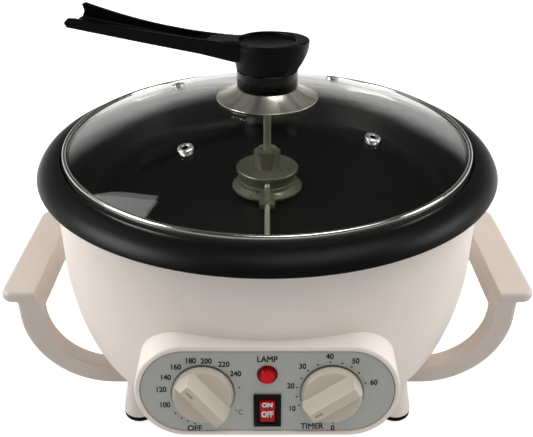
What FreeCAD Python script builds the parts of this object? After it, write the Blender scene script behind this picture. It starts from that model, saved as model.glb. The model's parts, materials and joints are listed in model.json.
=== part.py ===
import FreeCAD, Part
import math
import os
import re

import Sketcher

# Countertop coffee bean roaster. Millimetres, +Z up. The origin is on the surface that the
# roaster stands on, below the centre of the roasting pan; the control panel faces -Y.

V = FreeCAD.Vector
doc = FreeCAD.newDocument("BeanRoaster")
nodes = {}

# ---------------------------------------------------------------- driving dimensions
SIZES = [
    # outer bowl
    ("bowl_radius", 136.6, "bowl outside radius of its straight upper wall"),
    ("bowl_shoulder_z", 100, "height where the upper wall starts to curve in"),
    ("bowl_waist_radius", 127, "radius where the two lower curves meet"),
    ("bowl_waist_z", 44, "height where the two lower curves meet"),
    ("bowl_upper_arc", 168.1, "radius of the upper curve of the wall"),
    ("bowl_lower_arc", 59.2, "radius of the lower curve of the wall"),
    ("bowl_base_radius", 100, "outside radius of the flat underside"),
    ("bowl_base_z", 12, "height of the flat underside"),
    ("bowl_flange_in", 78, "inner radius of the bottom flange"),
    ("bowl_top_z", 156.5, "height of the top flange"),
    ("bowl_top_in", 127.6, "inner radius of the top flange"),
    ("bowl_wall", 2.6, "wall thickness of the bowl"),
    # roasting pan
    ("pan_floor_z", 129, "inside floor of the pan"),
    ("pan_floor_radius", 108, "radius of the flat floor"),
    ("pan_wall", 2, "thickness of the pan"),
    ("ledge_z", 160.5, "ledge that carries the lid"),
    ("ledge_in", 126, "inner radius of the ledge"),
    ("lip_radius", 131.6, "inside radius of the lip round the lid"),
    ("lip_z", 165, "top of the lip"),
    ("rim_radius", 146.6, "outer radius of the drooping rim"),
    ("rim_z", 154, "lower edge of the rim"),
    ("rim_arc", 16, "radius of the convex rim"),
    ("shaft_radius", 4, "stirrer drive shaft"),
    # lid
    ("glass_radius", 128.6, "edge radius of the glass"),
    ("glass_sphere", 303.4, "outer sphere of the dome"),
    ("glass_apex_z", 195.6, "top of the glass"),
    ("glass_thick", 4, "thickness of the glass"),
    ("ring_radius", 130, "outer radius of the steel lid ring"),
    ("rod_radius", 2.45, "hold-down rod"),
    ("vent_circle", 76.9, "radius of the circle of vents"),
    # knob
    ("neck_radius", 19.1, "glossy neck of the knob"),
    ("neck_z", 201.5, "bottom of the neck"),
    ("cup_z", 213.2, "bottom of the cup"),
    ("plate_z", 227.4, "underside of the knob's top plate"),
    ("knob_top_z", 231.4, "top of the knob"),
    ("recess_radius", 17.5, "round recess in the knob's top"),
    ("arm_half", 10.5, "half width of the side arm"),
    ("arm_wall", 3, "wall of the side arm"),
    # control pod, in the panel's own frame: x right, y into the bowl, z up the panel
    ("panel_y", -147.5, "panel centre, distance in front of the pan's axis"),
    ("panel_z", 82.5, "panel centre, height"),
    ("panel_tilt", 9.5, "panel leans back by this angle in degrees"),
    ("pod_width", 142.2, "control housing outside"),
    ("pod_height", 54.7, "control housing outside"),
    ("pod_depth", 44, "control housing front to back"),
    ("fascia_width", 136, "grey fascia plate"),
    ("fascia_height", 48.8, "grey fascia plate"),
    ("fascia_front", 0.7, "fascia set back from the housing's front edge"),
    ("fascia_thick", 1.5, "fascia plate"),
    ("dial_pitch", 34.4, "each dial's distance from the middle of the panel"),
    ("dial_drop", 0.8, "dial axes below the panel's centre"),
    ("dial_radius", 16.4, "dial skirt"),
    ("dial_shaft", 3, "dial shafts"),
    # handles and feet
    ("grip_in", 149.2, "inner edge of a handle's grip"),
    ("grip_out", 172, "outer edge of a handle's grip"),
    ("grip_top_z", 82.7, "top of the grip"),
    ("grip_thick", 7.5, "thickness of the grip's top slab"),
    ("grip_half", 57, "half length of the grip"),
    ("loop_x", 105, "centre of the handle's round part"),
    ("loop_z", 64.5, "centre of the handle's round part"),
    ("loop_out", 56.6, "outer radius of the handle's round part"),
    ("loop_in", 41.6, "inner radius of the handle's round part"),
    ("strut_deep", 13, "depth of each handle leg"),
    ("foot_x", 84.4, "foot centres to the left and right"),
    ("foot_y", 74.8, "foot centres to the front and back"),
    ("foot_radius", 10.7, "foot post at its lower end"),
    ("pad_high", 4, "rubber foot pad"),
    # drive
    ("gear_fine", 1, "module of the first gear pair"),
    ("gear_coarse", 1.25, "module of the second gear pair"),
    ("idler_y", 35.3, "idler axis behind the pan's axis"),
    ("motor_x", 28.25, "motor axis right of the idler"),
    ("case_floor_z", 60, "underside of the gearbox"),
    ("case_top_z", 84, "top edge of the gearbox case"),
    ("shield_z", 104, "underside of the heat shield"),
    ("element_radius", 80, "mean radius of the heating element"),
    ("element_tube", 3.3, "radius of the element's sheath"),
]

sheet = doc.addObject("Spreadsheet::Sheet", "Sizes")
for row, (alias, number, note) in enumerate(SIZES, start=1):
    sheet.set("A%d" % row, alias)
    sheet.set("B%d" % row, str(number))
    sheet.setAlias("B%d" % row, alias)
    sheet.set("C%d" % row, note)
doc.recompute()


# ---------------------------------------------------------------- sizes and placements
def value(size):
    """Number behind a size: a plain number, or a sum of products of sheet names and numbers."""
    if not isinstance(size, str):
        return float(size)
    total, sign = 0.0, 1.0
    for term in re.split(r"([+-])", size.replace(" ", "")):
        if term in ("+", "-"):
            sign = 1.0 if term == "+" else -1.0
        elif term:
            product, divide = 1.0, False
            for factor in re.split(r"([*/])", term):
                if factor in ("*", "/"):
                    divide = factor == "/"
                    continue
                named = factor[0].isalpha()
                number = float(getattr(sheet, factor)) if named else float(factor)
                product = product / number if divide else product * number
            total += sign * product
    return total


def formula(size):
    """The same size as an expression on the spreadsheet."""
    return re.sub(r"[a-z]\w*", lambda name: "Sizes." + name.group(), size)


def bind(thing, prop, size):
    setattr(thing, prop, value(size))
    if isinstance(size, str):
        thing.setExpression(prop, formula(size))


def place(thing, x=0, y=0, z=0, rotation=None):
    """Put an object at x, y, z, with each named size bound to the sheet."""
    turn = rotation or FreeCAD.Rotation()
    thing.Placement = FreeCAD.Placement(V(value(x), value(y), value(z)), turn)
    for letter, size in zip("xyz", (x, y, z)):
        if isinstance(size, str):
            thing.setExpression("Placement.Base." + letter, formula(size))
    return thing


def panel_frame():
    """Placement of the control panel: its Y runs into the bowl, its Z up the leaning panel."""
    turn = FreeCAD.Rotation(V(1, 0, 0), -value("panel_tilt"))
    return FreeCAD.Placement(V(0, value("panel_y"), value("panel_z")), turn)


def on_panel(thing, x=0, y=0, z=0, rotation=None):
    """Place an object by its position in the panel's own frame."""
    local = FreeCAD.Placement(V(value(x), value(y), value(z)), rotation or FreeCAD.Rotation())
    thing.Placement = panel_frame().multiply(local)
    return thing


FACING = FreeCAD.Rotation(V(1, 0, 0), 90)     # turns +Z to -Y: out of the panel
AWAY = FreeCAD.Rotation(V(1, 0, 0), -90)      # turns +Z to +Y: into the bowl
ALONG_X = FreeCAD.Rotation(V(0, 1, 0), 90)


# ---------------------------------------------------------------- solids
def cylinder(radius, height, x=0, y=0, z=0, rotation=None):
    solid = doc.addObject("Part::Cylinder", "Cylinder")
    bind(solid, "Radius", radius)
    bind(solid, "Height", height)
    return place(solid, x, y, z, rotation)


def cone(bottom, top, height, x=0, y=0, z=0, rotation=None):
    solid = doc.addObject("Part::Cone", "Cone")
    bind(solid, "Radius1", bottom)
    bind(solid, "Radius2", top)
    bind(solid, "Height", height)
    return place(solid, x, y, z, rotation)


def block(long, wide, high, x=0, y=0, z=0):
    """Box given by its sizes and its lowest corner."""
    solid = doc.addObject("Part::Box", "Box")
    bind(solid, "Length", long)
    bind(solid, "Width", wide)
    bind(solid, "Height", high)
    return place(solid, x, y, z)


def fuse(*things):
    result = doc.addObject("Part::MultiFuse", "Fusion")
    result.Shapes = list(things)
    result.Refine = True
    return result


def group(*things):
    result = doc.addObject("Part::Compound", "Group")
    result.Links = list(things)
    return result


def cut(base, *tools):
    result = doc.addObject("Part::Cut", "Cut")
    result.Base = base
    result.Tool = tools[0] if len(tools) == 1 else group(*tools)
    return result


def tube(outer, inner, height, x=0, y=0, z=0):
    return cut(cylinder(outer, height, x, y, z), cylinder(inner, height, x, y, z))


def stadium(width, height, deep, y=0, grow=0):
    """Bar with round ends, in the panel's frame, starting at depth y. It stands outside the
    stated width and height by grow all round, or inside them where grow is negative."""
    left, right = "%s/2-%s/2" % (height, width), "%s/2-%s/2" % (width, height)
    middle = block("%s-%s" % (width, height), deep, "%s%+g" % (height, 2 * grow),
                   left, y, "-%s/2%+g" % (height, -grow))
    ends = [cylinder("%s/2%+g" % (height, grow), deep, x, y, 0, AWAY) for x in (left, right)]
    return fuse(middle, *ends)


def part(label, thing):
    """Name a finished sub-part."""
    thing.Label = label
    nodes[label] = thing
    return thing


def shaped(shape):
    """Object whose solid is made directly, with sizes read from the sheet."""
    thing = doc.addObject("Part::Feature", "Shape")
    thing.Shape = shape
    return thing


def hexagonal(radius, height):
    """Hexagonal bar, its corners at the given radius."""
    solid = doc.addObject("Part::Prism", "Hexagon")
    solid.Polygon = 6
    bind(solid, "Circumradius", radius)
    bind(solid, "Height", height)
    return solid


# ---------------------------------------------------------------- sketched bodies
def draw(sketch, corners):
    """Closed outline through (x, y) corners. A third value is the radius of the arc that arrives
    at that corner: positive when it turns to the left, negative when it turns to the right."""
    ends = []
    for number, corner in enumerate(corners):
        following = corners[(number + 1) % len(corners)]
        start = V(value(corner[0]), value(corner[1]), 0)
        end = V(value(following[0]), value(following[1]), 0)
        if len(following) == 2:
            sketch.addGeometry(Part.LineSegment(start, end), False)
            ends.append((1, 2))
            continue
        radius = abs(value(following[2]))
        left = value(following[2]) > 0
        chord = end - start
        reach = math.sqrt(max(radius ** 2 - chord.Length ** 2 / 4, 0))
        side = V(-chord.y, chord.x, 0).normalize() * (reach if left else -reach)
        middle = (start + end) * 0.5 + side
        first, last = (start, end) if left else (end, start)
        angles = [math.atan2(point.y - middle.y, point.x - middle.x) for point in (first, last)]
        circle = Part.Circle(middle, V(0, 0, 1), radius)
        sketch.addGeometry(Part.ArcOfCircle(circle, *angles), False)
        ends.append((1, 2) if left else (2, 1))
    for number, corner in enumerate(corners):
        before = (number - 1) % len(corners)
        sketch.addConstraint(
            Sketcher.Constraint("Coincident", before, ends[before][1], number, ends[number][0]))
        for kind, axis, size in (("DistanceX", -2, corner[0]), ("DistanceY", -1, corner[1])):
            if value(size) == 0:
                sketch.addConstraint(
                    Sketcher.Constraint("PointOnObject", number, ends[number][0], axis))
                continue
            index = sketch.addConstraint(
                Sketcher.Constraint(kind, -1, 1, number, ends[number][0], value(size)))
            if isinstance(size, str):
                sketch.setExpression("Constraints[%d]" % index, formula(size))
        if len(corner) == 3:
            index = sketch.addConstraint(
                Sketcher.Constraint("Radius", before, abs(value(corner[2]))))
            if isinstance(corner[2], str):
                sketch.setExpression("Constraints[%d]" % index, formula(corner[2].lstrip("-")))


def sketched(plane, corners, offset=0):
    """A new body with one sketch on a plane of its own origin."""
    body = doc.addObject("PartDesign::Body", "Body")
    sketch = body.newObject("Sketcher::SketchObject", "Outline")
    support = [item for item in body.Origin.OriginFeatures if item.Role == plane][0]
    sketch.AttachmentSupport = [(support, "")]
    sketch.MapMode = "FlatFace"
    sketch.AttachmentOffset = FreeCAD.Placement(V(0, 0, value(offset)), FreeCAD.Rotation())
    if isinstance(offset, str):
        sketch.setExpression("AttachmentOffset.Base.z", formula(offset))
    draw(sketch, corners)
    return body, sketch


def turned(corners):
    """Body of revolution about Z from an outline of (radius, height) corners."""
    body, sketch = sketched("XZ_Plane", corners)
    turn = body.newObject("PartDesign::Revolution", "Revolution")
    turn.Profile = sketch
    turn.ReferenceAxis = (sketch, ["V_Axis"])
    turn.Angle = 360
    return body


def padded(plane, corners, length, offset=0):
    """Body pushed out of a flat outline: XY goes up, XZ goes towards -Y, YZ towards +X."""
    body, sketch = sketched(plane, corners, offset)
    pad = body.newObject("PartDesign::Pad", "Pad")
    pad.Profile = sketch
    bind(pad, "Length", length)
    return body


def rounded(body, radius, chosen):
    """Fillet the edges of a body's last feature for which chosen(edge) is true."""
    doc.recompute()
    last = body.Tip
    names = ["Edge%d" % number for number, edge in enumerate(last.Shape.Edges, start=1)
             if chosen(edge)]
    fillet = body.newObject("PartDesign::Fillet", "Fillet")
    fillet.Base = (last, names)
    bind(fillet, "Radius", radius)
    body.Tip = fillet
    return body


def around(count, radius, start=0.0):
    """Evenly spaced points on a circle, as (x, y, angle in degrees)."""
    for number in range(count):
        angle = start + 360.0 * number / count
        yield (radius * math.cos(math.radians(angle)), radius * math.sin(math.radians(angle)), angle)


# ================================================================ outer bowl and base
bowl_side = [
    ("bowl_base_radius", "bowl_base_z"),
    ("bowl_waist_radius", "bowl_waist_z", "bowl_lower_arc"),
    ("bowl_radius", "bowl_shoulder_z", "bowl_upper_arc"),
    ("bowl_radius", "bowl_top_z"),
]
envelope = turned([(0, "bowl_base_z")] + bowl_side + [(0, "bowl_top_z")])

# The wall's two curves run into each other, so their centres are on one line through the waist.
outward = (value("bowl_waist_radius-bowl_radius+bowl_upper_arc") / value("bowl_upper_arc"),
           value("bowl_waist_z-bowl_shoulder_z") / value("bowl_upper_arc"))
inner_waist = (value("bowl_waist_radius") - value("bowl_wall") * outward[0],
               value("bowl_waist_z") - value("bowl_wall") * outward[1])
lower_centre = (value("bowl_waist_radius") - value("bowl_lower_arc") * outward[0],
                value("bowl_waist_z") - value("bowl_lower_arc") * outward[1])
inner_drop = lower_centre[1] - value("bowl_base_z+bowl_wall")
inner_base = lower_centre[0] + math.sqrt(value("bowl_lower_arc-bowl_wall") ** 2 - inner_drop ** 2)
bowl_shell = turned(
    [("bowl_flange_in", "bowl_base_z")] + bowl_side + [
        ("bowl_top_in", "bowl_top_z"),
        ("bowl_top_in", "bowl_top_z-bowl_wall"),
        ("bowl_radius-bowl_wall", "bowl_top_z-bowl_wall"),
        ("bowl_radius-bowl_wall", "bowl_shoulder_z"),
        (*inner_waist, "-bowl_upper_arc+bowl_wall"),
        (inner_base, "bowl_base_z+bowl_wall", "-bowl_lower_arc+bowl_wall"),
        ("bowl_flange_in", "bowl_base_z+bowl_wall"),
    ])

BASE_PLATE_RADIUS, BASE_PLATE_Z = 87, 9.5
BASE_SCREW_CIRCLE = 82.5
HANDLE_SCREW_X, HANDLE_SCREW_Y = 81, 50.5
SCREW_SHANK, SCREW_LENGTH, SCREW_HEAD, SCREW_HEAD_HIGH = 1.5, 5.8, 3, 1.6
screw_places = [(x, y, BASE_PLATE_Z) for x, y, angle in around(6, BASE_SCREW_CIRCLE)]
screw_places += [(x, y, value("loop_z-loop_out")) for x in (-HANDLE_SCREW_X, HANDLE_SCREW_X)
                 for y in (-HANDLE_SCREW_Y, HANDLE_SCREW_Y)]
base_screws = part("base_screws", group(*[
    fuse(cylinder(SCREW_SHANK, SCREW_LENGTH, x, y, z - 0.2),
         cylinder(SCREW_HEAD, SCREW_HEAD_HIGH, x, y, z - SCREW_HEAD_HIGH))
    for x, y, z in screw_places]))

# Power inlet: a block let through the bowl's back wall.
INLET_WIDTH, INLET_HIGH, INLET_FRONT, INLET_BACK, INLET_Z = 36, 30, 110, 137.5, 46
housing_hole = on_panel(stadium("pod_width", "pod_height", "pod_depth+26"))
inlet_hole = block(INLET_WIDTH, INLET_HIGH, INLET_HIGH, -INLET_WIDTH / 2, INLET_FRONT, INLET_Z)
part("outer_bowl", cut(bowl_shell, housing_hole, inlet_hole, base_screws))

SLOT_WIDTH, SLOT_LENGTH, SLOT_ROW = 5, 34, 30
vent_slots = [block(SLOT_WIDTH, SLOT_LENGTH, 4, x - SLOT_WIDTH / 2, y - SLOT_LENGTH / 2, 9)
              for x in range(-48, 49, 12) for y in (-SLOT_ROW, SLOT_ROW)]
base_disc = cylinder(BASE_PLATE_RADIUS, "bowl_base_z-%g" % BASE_PLATE_Z, z=BASE_PLATE_Z)
part("base_plate", cut(base_disc, base_screws, *vent_slots))

FOOT_LENGTH, FOOT_TAPER, PAD_CHAMFER = 30, 5.2, 1.2
foot_posts = []
foot_pads = []
for x in ("-foot_x", "foot_x"):
    for y in ("-foot_y", "foot_y"):
        post = cone("foot_radius", "foot_radius-%g" % FOOT_TAPER, FOOT_LENGTH, x, y, "pad_high")
        foot_posts.append(cut(post, envelope))
        foot_pads.append(fuse(
            cone("foot_radius-1.2", "foot_radius-0.2", PAD_CHAMFER, x, y, 0),
            cylinder("foot_radius-0.2", "pad_high-%g" % PAD_CHAMFER, x, y, PAD_CHAMFER)))
part("foot_posts", group(*foot_posts))
part("foot_pads", group(*foot_pads))


# ================================================================ carrying handles
LEG_END_X = 76                 # the legs' feet end below the bowl, beside the base plate
LEG_ROUND, GRIP_CORNER, GRIP_ROUND, WEB_THICK, WEB_LEAN = 4, 8, 2.6, 6, 1.8


def handle_legs():
    """Front and rear legs: round from the grip down and in under the bowl."""
    outline = [
        ("loop_x+loop_out", "grip_top_z-grip_thick"),
        ("loop_x+loop_in", "grip_top_z-grip_thick"),
        ("loop_x+loop_in", "loop_z"),
        ("loop_x", "loop_z-loop_in", "-loop_in"),
        (LEG_END_X, "loop_z-loop_in"),
        (LEG_END_X, "loop_z-loop_out"),
        ("loop_x", "loop_z-loop_out"),
        ("loop_x+loop_out", "loop_z", "loop_out"),
    ]
    legs = []
    for front in (True, False):
        offset = "grip_half-strut_deep" if front else "-grip_half"
        leg = padded("XZ_Plane", outline, "strut_deep", offset)
        outside = -value("grip_half") if front else value("grip_half")

        def outer_edge(edge, outside=outside):
            on_end = all(abs(point.Point.y - outside) < 0.01 for point in edge.Vertexes)
            middle = edge.valueAt((edge.FirstParameter + edge.LastParameter) / 2)
            reach = math.hypot(middle.x - value("loop_x"), middle.z - value("loop_z"))
            straight = abs(middle.x - value("loop_x+loop_out")) < 0.01
            return on_end and (abs(reach - value("loop_out")) < 0.01 or straight)

        legs.append(rounded(leg, LEG_ROUND, outer_edge))
    return legs


def grip():
    """Top slab with an overhanging outer lip, and the leaning web along its inner side."""
    slab = padded("XY_Plane", [("grip_in", "-grip_half"), ("grip_out", "-grip_half"),
                               ("grip_out", "grip_half"), ("grip_in", "grip_half")],
                  "grip_thick", "grip_top_z-grip_thick")

    def outer_corner(edge):
        upright = abs(edge.tangentAt(edge.FirstParameter).z) > 0.9
        return upright and edge.Vertexes[0].Point.x > value("grip_out") - 0.01

    def outer_rim(edge):
        level = abs(edge.tangentAt(edge.FirstParameter).z) < 0.1
        middle = edge.valueAt((edge.FirstParameter + edge.LastParameter) / 2)
        return level and middle.x > value("grip_in") + 1

    slab = rounded(rounded(slab, GRIP_CORNER, outer_corner), GRIP_ROUND, outer_rim)
    web = padded("XZ_Plane", [
        ("grip_in", "grip_top_z-grip_thick"), ("grip_in-%g" % WEB_LEAN, "loop_z"),
        ("grip_in+%g" % (WEB_THICK - WEB_LEAN), "loop_z"),
        ("grip_in+%g" % WEB_THICK, "grip_top_z-grip_thick")], "2*grip_half", "-grip_half")
    return fuse(slab, web, *handle_legs())


right_handle = part("right_handle", cut(grip(), envelope, base_screws))
# The handle is symmetrical front to back, so the left one is the same moulding turned round.
part("left_handle", place(group(right_handle), rotation=FreeCAD.Rotation(V(0, 0, 1), 180)))

# ================================================================ roasting pan
HUB_HOLE = 7                   # the pan's centre hole, filled by the bush
BUSH_FLANGE, BUSH_LOW_Z, BUSH_TOP_Z = 10, 124, 138
wall_foot = (117.4, 137.6)     # where the round foot of the pan's wall ends, inside
wall_foot_out = (119.2, 136.6)
part("roasting_pan", turned([
    (HUB_HOLE, "pan_floor_z-pan_wall"),
    ("pan_floor_radius", "pan_floor_z-pan_wall"),
    (*wall_foot_out, 14),
    ("ledge_in+0.4", "ledge_z-pan_wall"),
    ("lip_radius+1.6", "ledge_z-pan_wall"),
    ("lip_radius+1.6", "ledge_z+1.1"),
    ("rim_radius-2", "rim_z", "-rim_arc+pan_wall"),
    ("rim_radius", "rim_z"),
    ("lip_radius+2.2", "lip_z", "rim_arc"),
    ("lip_radius+0.5", "lip_z"),
    ("lip_radius", "lip_z-0.8"),
    ("lip_radius-0.3", "ledge_z"),
    ("ledge_in", "ledge_z"),
    wall_foot,
    ("pan_floor_radius", "pan_floor_z", -12),
    (HUB_HOLE, "pan_floor_z"),
]))
part("pan_seat_ring", turned([
    ("bowl_top_in+0.4", "bowl_top_z"), ("lip_radius+3", "bowl_top_z"),
    ("lip_radius+1.4", "ledge_z-pan_wall"), ("bowl_top_in+0.4", "ledge_z-pan_wall")]))
part("pan_bush", turned([
    ("shaft_radius+0.05", BUSH_LOW_Z), (BUSH_FLANGE, BUSH_LOW_Z),
    (BUSH_FLANGE, "pan_floor_z-pan_wall"), (HUB_HOLE, "pan_floor_z-pan_wall"),
    (HUB_HOLE, BUSH_TOP_Z), ("shaft_radius+0.05", BUSH_TOP_Z)]))

# ================================================================ heater
# A tube bent to an open circle below the pan's floor, with both ends turned down.
LEG_ANGLE = 9                  # each end's angle from the back, seen from the middle
ELEMENT_Z, LEG_LENGTH, TERMINAL_RADIUS, TERMINAL_LENGTH = 123.4, 29, 1.2, 7
element_arc = doc.addObject("Part::Torus", "Torus")
bind(element_arc, "Radius1", "element_radius")
bind(element_arc, "Radius2", "element_tube")
element_arc.Angle3 = 360 - 2 * LEG_ANGLE
place(element_arc, z=ELEMENT_Z, rotation=FreeCAD.Rotation(V(0, 0, 1), 90 + LEG_ANGLE))
element_pieces = [element_arc]
leg_holes = []
for side in (-1, 1):
    x = side * value("element_radius") * math.sin(math.radians(LEG_ANGLE))
    y = value("element_radius") * math.cos(math.radians(LEG_ANGLE))
    knee = doc.addObject("Part::Sphere", "Sphere")
    bind(knee, "Radius", "element_tube")
    leg_end = ELEMENT_Z - LEG_LENGTH
    element_pieces += [
        place(knee, x, y, ELEMENT_Z),
        cylinder("element_tube", LEG_LENGTH, x, y, leg_end),
        cylinder(TERMINAL_RADIUS, TERMINAL_LENGTH, x, y, leg_end - TERMINAL_LENGTH + 0.6)]
    leg_holes.append(cylinder("element_tube+1", 4, x, y, "shield_z-1"))
part("heating_element", fuse(*element_pieces))

CLIP_CIRCLE, CLIP_STUD, CLIP_TOP_Z, CLIP_STRAP = 72, 2, 120, (18, 8, 1.1)
clips = []
for x, y, angle in around(3, CLIP_CIRCLE, 210):
    strap = block(*CLIP_STRAP, x - 9 + x / 18, y - 4 + y / 18, CLIP_TOP_Z - CLIP_STRAP[2])
    clips.append(fuse(cylinder(CLIP_STUD, "pan_floor_z-pan_wall-%g" % CLIP_TOP_Z, x, y, CLIP_TOP_Z),
                      strap))
part("element_clips", group(*clips))

SHIELD_HOLE, SHIELD_FLAT, SHIELD_RIM, SHIELD_RIM_Z = 9, 112, 117, 120
part("heat_shield", cut(turned([
    (SHIELD_HOLE, "shield_z"), (SHIELD_FLAT, "shield_z"), (SHIELD_RIM, SHIELD_RIM_Z),
    (SHIELD_RIM - 1, SHIELD_RIM_Z + 0.4), (SHIELD_FLAT - 0.6, "shield_z+1"),
    (SHIELD_HOLE, "shield_z+1")]), *leg_holes))
part("pan_studs", group(*[
    cylinder(3, "pan_floor_z-pan_wall-shield_z-1", x, y, "shield_z+1")
    for x, y, angle in around(4, 54, 45)]))
part("tie_rods", group(*[
    cylinder(2.5, "shield_z-bowl_base_z-bowl_wall", x, y, "bowl_base_z+bowl_wall")
    for x, y, angle in around(3, 88, 30)]))

PROBE_RADIUS = 2.5             # thermal fuse and thermostat bulb, both against the pan's floor
probe_z = "pan_floor_z-pan_wall-%g" % PROBE_RADIUS
part("thermal_fuse", fuse(cylinder(PROBE_RADIUS, 16, 30, -8, probe_z, ALONG_X),
                          cylinder(0.6, 28, 24, -8, probe_z, ALONG_X)))
part("sensing_bulb", cylinder(PROBE_RADIUS, 60, -30, -56, probe_z, ALONG_X))


# ================================================================ gears
def gear(teeth, module, thick, bore, turn=0.0):
    """Spur gear with straight-flanked teeth, standing on Z = 0. The first tooth points along +X
    before the gear is turned."""
    pitch = module * teeth / 2
    root, tip = pitch - 1.35 * module, pitch + 0.9 * module
    flank = ((root, 0.36), (pitch, 0.215), (tip, 0.10))     # radius, half width in tooth pitches
    points = []
    for tooth in range(teeth):
        for side in (-1, 1):
            for radius, share in (flank if side < 0 else reversed(flank)):
                angle = math.radians(turn) + 2 * math.pi * (tooth + side * share) / teeth
                points.append(V(radius * math.cos(angle), radius * math.sin(angle), 0))
    wire = Part.makePolygon(points + points[:1])
    solid = Part.Face(wire).extrude(V(0, 0, thick))
    return solid.cut(Part.makeCylinder(bore, thick))


def moved(shape, x, y, z):
    shape.translate(V(x, y, z))
    return shape


fine, coarse = value("gear_fine"), value("gear_coarse")
idler_y, motor_x = value("idler_y"), value("motor_x")
PINION_TEETH, IDLER_BIG, IDLER_SMALL, OUTPUT_TEETH = 16, 40, 14, 42
RUNNING_FIT = 0.05
OUTPUT_Z, OUTPUT_THICK = 73, 7
IDLER_Z, BIG_THICK, SMALL_THICK = 66, 6, 8.4
PINION_Z, PINION_THICK = 65.5, 7
IDLER_PIN, MOTOR_SHAFT = 2.5, 2
# Each pair meets with a tooth of one in a gap of the other: the idler's small wheel has a tooth
# towards the output gear's axis, and its big wheel has one towards the motor.
output_gear = gear(OUTPUT_TEETH, coarse, OUTPUT_THICK, value("shaft_radius"),
                   90 + 180 / OUTPUT_TEETH)
part("output_gear", shaped(moved(output_gear, 0, 0, OUTPUT_Z)))
big_wheel = gear(IDLER_BIG, fine, BIG_THICK, IDLER_PIN + RUNNING_FIT)
small_wheel = gear(IDLER_SMALL, coarse, SMALL_THICK, IDLER_PIN + RUNNING_FIT, -90)
idler = big_wheel.fuse(moved(small_wheel, 0, 0, BIG_THICK))
part("idler_gear", shaped(moved(idler, 0, idler_y, IDLER_Z)))
pinion = gear(PINION_TEETH, fine, PINION_THICK, MOTOR_SHAFT, 180 + 180 / PINION_TEETH)
part("motor_pinion", shaped(moved(pinion, motor_x, idler_y, PINION_Z)))

# ================================================================ gearbox and motor
CASE_WALL = 2.5
CASE_LEFT, CASE_RIGHT, CASE_FRONT, CASE_REAR = -33, 45, -33, 62
CASE_LONG, CASE_WIDE = CASE_RIGHT - CASE_LEFT, CASE_REAR - CASE_FRONT
COVER_Z = "case_top_z"
case_floor = "case_floor_z+%g" % CASE_WALL
case_block = block(CASE_LONG, CASE_WIDE, "case_top_z-case_floor_z", CASE_LEFT, CASE_FRONT,
                   "case_floor_z")
case_room = block(CASE_LONG - 2 * CASE_WALL, CASE_WIDE - 2 * CASE_WALL, "case_top_z-case_floor_z",
                  CASE_LEFT + CASE_WALL, CASE_FRONT + CASE_WALL, case_floor)
CORNER_INSET = 5
corners = [(x, y) for x in (CASE_LEFT + CORNER_INSET, CASE_RIGHT - CORNER_INSET)
           for y in (CASE_FRONT + CORNER_INSET, CASE_REAR - CORNER_INSET)]
posts = [cylinder(4, "case_top_z-case_floor_z", x, y, "case_floor_z") for x, y in corners]
case_screws = part("case_screws", group(*[
    fuse(cylinder(1.5, 12, x, y, "case_top_z-9.5"), cylinder(2.8, 1.5, x, y, "case_top_z+2.5"))
    for x, y in corners]))

BUSH_RADIUS = 7
part("gearbox_case", cut(
    fuse(cut(case_block, case_room), *posts), case_screws,
    cylinder(BUSH_RADIUS, 6, z="case_floor_z-2"),
    cylinder(3.2, 6, "motor_x", "idler_y", "case_floor_z-2")))
part("gearbox_cover", cut(
    block(CASE_LONG, CASE_WIDE, CASE_WALL, CASE_LEFT, CASE_FRONT, COVER_Z), case_screws,
    cylinder(BUSH_RADIUS, 6, z="case_top_z-2")))
part("shaft_bushes", group(tube(BUSH_RADIUS, "shaft_radius+0.05", 5, z="case_floor_z-1"),
                           tube(BUSH_RADIUS, "shaft_radius+0.05", 6, z="case_top_z-1.5")))
part("idler_pin", cylinder(IDLER_PIN, "case_top_z-case_floor_z-%g" % CASE_WALL, 0, "idler_y",
                           case_floor))
part("gearbox_standoffs", group(*[
    cylinder(3.5, "shield_z-case_top_z-%g" % CASE_WALL, x, y, "case_top_z+%g" % CASE_WALL)
    for x, y in ((-28, 15), (40, 15), (12, -29), (12, 58))]))

# The drive shaft has a collar that rests on the lower bush.
COLLAR_RADIUS, COLLAR_Z, COLLAR_HIGH, SHAFT_TOP_Z = 6, 64.1, 1.5, 147
part("drive_shaft", turned([
    (0, "case_floor_z-1.5"), ("shaft_radius", "case_floor_z-1.5"), ("shaft_radius", COLLAR_Z),
    (COLLAR_RADIUS, COLLAR_Z), (COLLAR_RADIUS, COLLAR_Z + COLLAR_HIGH),
    ("shaft_radius", COLLAR_Z + COLLAR_HIGH), ("shaft_radius", SHAFT_TOP_Z), (0, SHAFT_TOP_Z)]))

# Motor hung below the gearbox: a closed can, a ring of laminations and the rotor on its shaft.
CAN_OUT, CAN_WALL, CAN_LOW_Z = 27, 2, 26
can_in, can_bore = CAN_OUT - CAN_WALL, MOTOR_SHAFT + RUNNING_FIT
can_lid_z = "case_floor_z-%g" % CAN_WALL
part("motor_can", place(turned([
    (can_bore, CAN_LOW_Z), (CAN_OUT, CAN_LOW_Z), (CAN_OUT, "case_floor_z"),
    (can_bore, "case_floor_z"), (can_bore, can_lid_z), (can_in, can_lid_z),
    (can_in, CAN_LOW_Z + CAN_WALL), (can_bore, CAN_LOW_Z + CAN_WALL)]), "motor_x", "idler_y"))
STATOR_IN, STATOR_LOW_Z, STATOR_TOP_Z = 16.5, 31, 55
part("motor_stator", place(turned([
    (STATOR_IN, STATOR_LOW_Z), (can_in, STATOR_LOW_Z), (can_in, STATOR_TOP_Z),
    (STATOR_IN, STATOR_TOP_Z)]), "motor_x", "idler_y"))
ROTOR_RADIUS = STATOR_IN - 0.7
rotor_shaft_top = PINION_Z + PINION_THICK
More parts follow.
